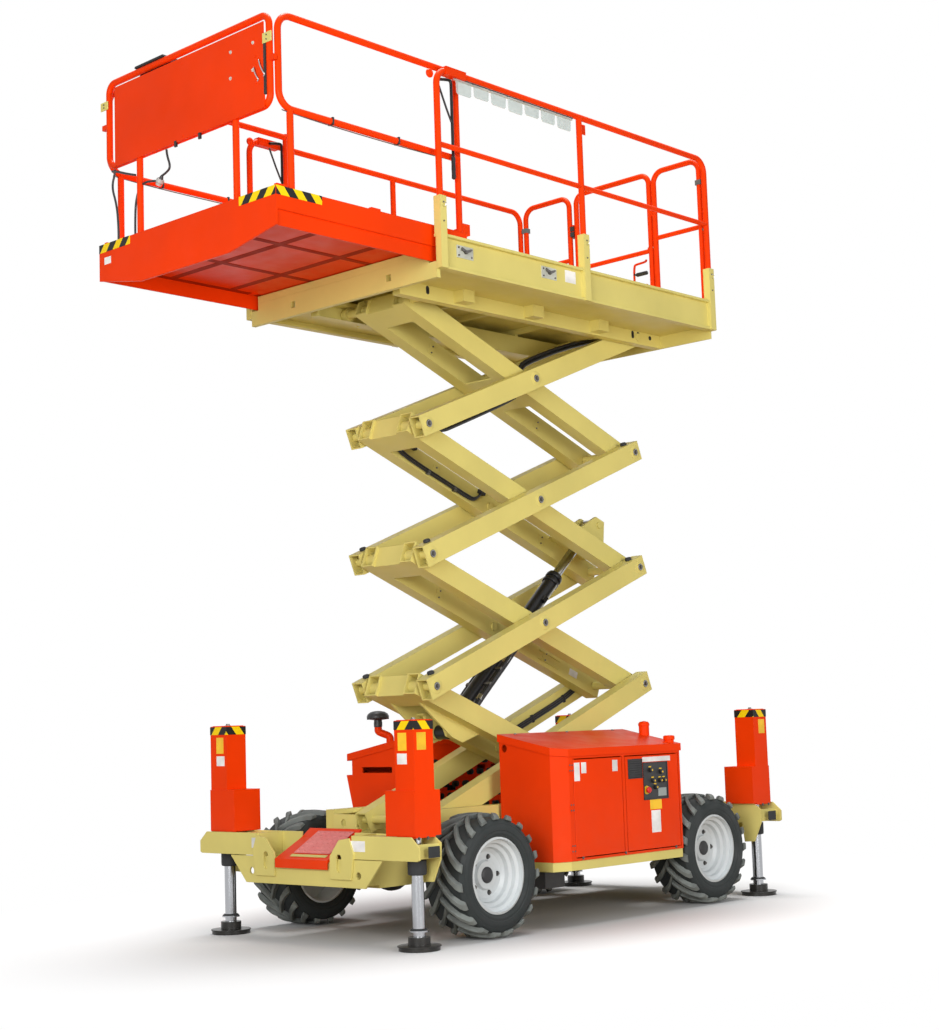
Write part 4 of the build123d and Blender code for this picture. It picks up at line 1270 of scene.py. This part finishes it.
class LiftRailsOperator(bpy.types.Operator):
    """Parts clamped to the guard rails of the main deck"""

    bl_idname = "lift.rails"
    bl_label = "Main rails"

    def execute(self, context):
        kit = Kit("rail", "platform")
        for s in (1, -1):
            self.clamps(kit, s)
        self.rack(kit)
        self.rear(kit)
        kit.close()
        self.gate()
        return {"FINISHED"}

    def rack(self, kit):
        """A strip of clear cover tabs under the left top rail"""
        y = RAIL_Y
        bar(kit["grey_plastic"], 0.092, 1.152, y - 0.006, y + 0.006, 4.889, 4.907)
        bar(kit["black_plastic"], 0.088, 1.156, y - 0.0075, y + 0.0075, 4.899, 4.906)
        for k in range(7):
            x0, x1 = 0.104 + 0.150 * k, 0.104 + 0.150 * k + 0.132
            drop = 4.812 + 0.006 * (k % 3)
            tab = [
                (x0, 4.892), (x0 + 0.004, drop + 0.010), (x0 + 0.014, drop), (x1 - 0.014, drop),
                (x1 - 0.004, drop + 0.010), (x1, 4.892)
            ]
            plate(kit["clear_tab"], [(x, y - 0.002, z) for x, z in tab], (0, 0.004, 0))
        for k in range(8):
            x = 0.097 + 0.150 * k
            drum(kit["pin_steel"], (x, y - 0.009, 4.898), (x, y + 0.009, 4.898), 0.004, n=8)

    def clamps(self, kit, s):
        y = RAIL_Y * s
        # sleeve where the two halves of the top rail meet
        bar(kit["orange_paint"], 1.066, 1.236, y - 0.026, y + 0.022, 4.899, 4.949)
        knob = [(0, 0), (0.020, 0.002), (0.026, 0.010), (0.026, 0.018), (0.018, 0.025), (0, 0.027)]
        turned(kit["orange_paint"], knob, along((0, -s, 0), (1.318, 0.815 * s, 4.898)), 24)
        if s > 0:
            bar(kit["orange_paint"], -0.060, -0.029, 0.811, 0.817, 4.832, 4.897)
        # lock pins of the rail posts, with their rings
        z = 4.150
        for x in (1.298, 0.025, -1.290):
            drum(kit["bright_steel"], (x, 0.803 * s, z - 0.02), (x, 0.862 * s, z - 0.02), 0.006, n=10)
            ring = [(0.012, -0.002), (0.015, 0.0), (0.012, 0.002)]
            turned(kit["bright_steel"], ring, along((1, 0, 0), (x, 0.868 * s, z - 0.036)), 16, True)

    def rear(self, kit):
        # latch of the gate
        bar(kit["orange_paint"], -1.318, -1.284, 0.372, 0.398, 4.640, 4.700)
        for s in (1, -1):
            bar(kit["pin_steel"], -1.322, -1.280, 0.765 * s, 0.812 * s, 4.766, 4.800)
            bolt(kit["pin_steel"], (-1.322, 0.792 * s, 4.784), (-1, 0, 0), 0.008, 0.007)
            drum(kit["pin_steel"], (-1.300, 0.786 * s, 4.452), (-1.300, 0.812 * s, 4.452), 0.012, n=12)
        for z in (4.66, 4.70, 4.25, 4.29):
            bar(kit["black_plastic"], -1.3215, -1.2805, -0.350, -0.316, z - 0.017, z + 0.017)
        for z in (4.68, 4.27):
            drum(kit["pin_steel"], (GATE_X, -0.333, z - 0.050), (GATE_X, -0.333, z + 0.050), 0.007, n=12)

    def gate(self):
        kit = Kit("gate", "gate")
        bow = ((0.29, 4.340), (0.20, 4.338), (0.178, 4.330), (0.176, 4.20), (0.182, 4.176), (0.25, 4.172))
        pull = [(-1.312, 0.30, 4.345), *((-1.330, y, z) for y, z in bow), (-1.312, 0.30, 4.170)]
        hose("gate_pull", "gate", pull, 0.008, "orange_paint")
        drum(kit["black_rubber"], (-1.330, 0.200, 4.262), (-1.330, 0.290, 4.262), 0.014, n=16)
        for y in (0.195, 0.290):
            drum(kit["black_paint"], (-1.330, y, 4.262), (-1.308, y, 4.262), 0.006, n=10)
        bar(kit["orange_paint"], -1.314, -1.288, 0.335, 0.362, 4.395, 4.425)
        drum(kit["bright_steel"], (GATE_X, 0.330, 4.418), (GATE_X, 0.385, 4.418), 0.0075, n=12)
        kit.close()


# ------------------------------------------------------------------ extension
class LiftExtensionOperator(bpy.types.Operator):
    """Warning bands, panel fittings and rail clamps of the deck extension"""

    bl_idname = "lift.extension"
    bl_label = "Deck extension"

    def execute(self, context):
        kit = Kit("extension", "extension")
        self.bands(kit)
        self.panel(kit)
        self.rails(kit)
        self.below(kit)
        for s in (1, -1):
            self.handle(kit, s)
        kit.close()
        checker("extension_tread", "extension", "orange_paint", (1.08, -0.70, EXTENSION_FLOOR), 22, 23)
        return {"FINISHED"}

    def bands(self, kit):
        high = BOX["extension_deck"][1]
        front, side, low, top = high.x, 0.785, 3.962, 4.011
        for s in (1, -1):
            bar(kit["hazard_band"], front, front + 0.0015, 0.486 * s, side * s, low, top)
            bar(kit["hazard_band"], 2.157, front - 0.004, side * s, (side + 0.0015) * s, low, top)
        label(kit, "white_label", "x", front, -0.735, -0.672, 3.888, 3.930)

    def panel(self, kit):
        face = BOX["front_panel"][1].x
        for y, z in ((0.427, 4.831), (0.615, 4.830), (0.423, 4.685), (0.611, 4.680)):
            bolt(kit["zinc_plate"], (face, y, z), (1, 0, 0), 0.0065, 0.006)
        for y, z in ((0.630, 4.60), (0.630, 4.75), (-0.60, 4.86), (-0.60, 4.50), (0.0, 4.89), (0.0, 4.475)):
            bolt(kit["orange_paint"], (face, y, z), (1, 0, 0), 0.006, 0.003, False)
        # edge seal
        bar(kit["black_rubber"], face - 0.012, face + 0.003, 0.698, 0.712, 4.522, 4.831)
        # spring hooks
        for k, (y0, z0, y1, z1) in enumerate(((0.622, 4.690, 0.655, 4.622), (0.664, 4.722, 0.706, 4.636))):
            run = [
                (0.004, y0, z0), (0.014, y0 + 0.010, z0 - 0.004), (0.014, (y0 + y1) / 2, (z0 + z1) / 2),
                (0.012, y1, z1 + 0.004), (0.004, y1 + 0.008, z1 - 0.010), (0.003, y1 - 0.006, z1 - 0.014)
            ]
            hose(f"panel_hook_{k}", "extension", run, 0.0035, "bright_steel", at(face, 0))
        # clamps that hold the panel to its posts
        for y0, y1, z0, z1 in ((0.694, 0.766, 4.800, 4.856), (-0.768, -0.700, 4.812, 4.862)):
            bar(kit["cream_paint"], face - 0.003, face + 0.004, y0, y1, z0, z1)
            for z in (z0 + 0.016, z1 - 0.016):
                bolt(kit["pin_steel"], (face + 0.004, (y0 + y1) / 2, z), (1, 0, 0), 0.005, 0.004, False)
        # small hangers on the lower edge
        for y, z in ((-0.067, 4.438), (0.147, 4.430)):
            bar(kit["black_paint"], face - 0.008, face + 0.002, y - 0.010, y + 0.010, z - 0.010, z + 0.024)
        run = [
            (-0.02, -0.690, 4.440), (-0.012, -0.64, 4.428), (-0.012, -0.55, 4.392), (-0.02, -0.468, 4.366)
        ]
        hose("panel_lead", "extension", run, 0.007, place=at(face, 0))

    def rails(self, kit):
        for s in (1, -1):
            y = EXTENSION_RAIL_Y * s
            # foot plates of the posts
            for x in (1.060, 1.74, 2.420):
                bar(kit["orange_paint"], x - 0.036, x + 0.036, y - 0.012, y + 0.012, 4.006, 4.030)
            bar(kit["orange_paint"], 0.985, 1.045, y - 0.014, y + 0.014, 4.006, 4.072)
            # brace wires below the middle rail
            run = [
                (x, y, z)
                for x, z in ((1.10, 4.440), (1.30, 4.432), (1.80, 4.428), (2.25, 4.432), (2.40, 4.440))
            ]
            hose(f"rail_wire_{'left' if s > 0 else 'right'}", "extension", run, 0.003, "pin_steel")
            for x in (1.55, 2.05):
                bar(kit["black_plastic"], x - 0.006, x + 0.006, y - 0.021, y + 0.021, 4.434, 4.476)

    def handle(self, kit, s):
        """Push handle on the rear post of the extension rail"""
        side, x, top = ("left", 1.135, 4.902) if s > 0 else ("right", 1.060, 4.936)
        post = at(x, 0.795 * s, 0)
        run = [
            (0.100, 0, top - 0.018), (0.020, 0, top), (0, 0, top - 0.008), (0, 0, top - 0.060),
            (0, 0, 4.60), (0, 0, 4.440)
        ]
        hose(f"push_handle_{side}", "extension", run, 0.0092, "black_paint", post)
        grip = [
            (0.0095, 0), (0.0125, 0.004), (0.0128, 0.02), (0.0120, 0.045), (0.0128, 0.07), (0.0120, 0.10),
            (0.0128, 0.130), (0, 0.138)
        ]
        turned(kit["black_rubber"], grip, along((0, 0, -1), (x, 0.795 * s, 4.444)), 20)
        run = [
            (0.105, 0, top - 0.050), (0.075, 0, top - 0.115), (0.040, 0, top - 0.190),
            (0.005, 0, top - 0.255)
        ]
        hose(f"push_handle_brace_{side}", "extension", run, 0.006, "black_paint", post)

    def below(self, kit):
        """Flat ribs under the extension floor, thin enough to pass over the main deck, in an orange
        darkened as painted shade
        """
        for y in (-0.735, -0.26, 0.26, 0.735):
            bar(kit["painted_shade_orange"], 1.12, 2.42, y - 0.022, y + 0.022, 3.8842, 3.8872)
        for x in (1.12, 1.55, 2.00, 2.42):
            bar(kit["painted_shade_orange"], x - 0.024, x + 0.024, -0.74, 0.74, 3.8845, 3.8872)


class LiftControlsOperator(bpy.types.Operator):
    """The control box that hangs on the front rail"""

    bl_idname = "lift.controls"
    bl_label = "Platform controls"

    def execute(self, context):
        kit = Kit("controls", "extension")
        shape = [
            (2.420, 4.780), (2.420, 4.972), (2.404, 4.986), (2.330, 4.990), (2.260, 4.950),
            (2.246, 4.930), (2.246, 4.790), (2.260, 4.780)
        ]
        plate(kit["black_plastic"], [(x, -0.458, z) for x, z in shape], (0, 0.293, 0))
        face = at(2.292, 0, 4.970)
        button = [(0, 0), (0.016, 0), (0.016, 0.010), (0.010, 0.014), (0, 0.014)]
        for y in (-0.40, -0.30, -0.22):
            turned(kit["grey_plastic"], button, face @ at(0, y, -0.004), 18)
        stick = [
            (0, 0), (0.022, 0), (0.015, 0.012), (0.007, 0.018), (0.007, 0.040), (0.013, 0.050),
            (0.013, 0.075), (0, 0.082)
        ]
        turned(kit["black_rubber"], stick, face @ at(-0.022, -0.345, -0.020), 20)
        stop = [(0, 0), (0.010, 0), (0.010, 0.010), (0.019, 0.012), (0.019, 0.020), (0, 0.026)]
        turned(kit["red_plastic"], stop, face @ at(-0.020, -0.200, -0.020), 20)
        pad = [
            (2.424, -0.446, 4.985), (2.424, -0.175, 4.985), (2.424, -0.179, 4.998), (2.424, -0.442, 4.998)
        ]
        plate(kit["black_rubber"], pad, (0.044, 0, 0))
        kit.close()
        run = [
            (2.30, -0.31, 4.785), (2.30, -0.31, 4.74), (2.36, -0.26, 4.62), (2.40, -0.20, 4.50),
            (2.428, -0.189, 4.470)
        ]
        hose("controls_lead", "extension", run, 0.0085)
        return {"FINISHED"}


# ------------------------------------------------------------------ add-on
class LiftPanel(bpy.types.Panel):
    """Settings and steps of the scissor lift"""

    bl_idname = "VIEW3D_PT_scissor_lift"
    bl_label = "Scissor Lift"
    bl_space_type = "VIEW_3D"
    bl_region_type = "UI"
    bl_category = "Scissor Lift"

    def draw(self, context):
        for group in (context.scene.lift_paint, context.scene.lift_stage, context.scene.lift_tyres):
            for name in group.__annotations__:
                self.layout.prop(group, name)
        for step in STEPS:
            self.layout.operator(step.bl_idname)


SETTINGS = (
    ("lift_paint", LiftPaintSettings), ("lift_stage", LiftStageSettings), ("lift_tyres", LiftTyreSettings)
)
STEPS = (
    LiftStageOperator,
    LiftCablesOperator,
    LiftPaintOperator,
    LiftTyresOperator,
    LiftWheelsOperator,
    LiftChassisOperator,
    LiftHoodsOperator,
    LiftEngineOperator,
    LiftScissorOperator,
    LiftCylinderOperator,
    LiftPlatformOperator,
    LiftRailsOperator,
    LiftExtensionOperator,
    LiftControlsOperator,
)


def register():
    for name, group in SETTINGS:
        bpy.utils.register_class(group)
        setattr(bpy.types.Scene, name, PointerProperty(type=group))
    for cls in (*STEPS, LiftPanel):
        bpy.utils.register_class(cls)


def unregister():
    for cls in (LiftPanel, *reversed(STEPS)):
        bpy.utils.unregister_class(cls)
    for name, group in reversed(SETTINGS):
        delattr(bpy.types.Scene, name)
        bpy.utils.unregister_class(group)


def main():
    register()
    for step in STEPS:
        group, name = step.bl_idname.split(".")
        getattr(getattr(bpy.ops, group), name)()


if __name__ == "__main__":
    main()
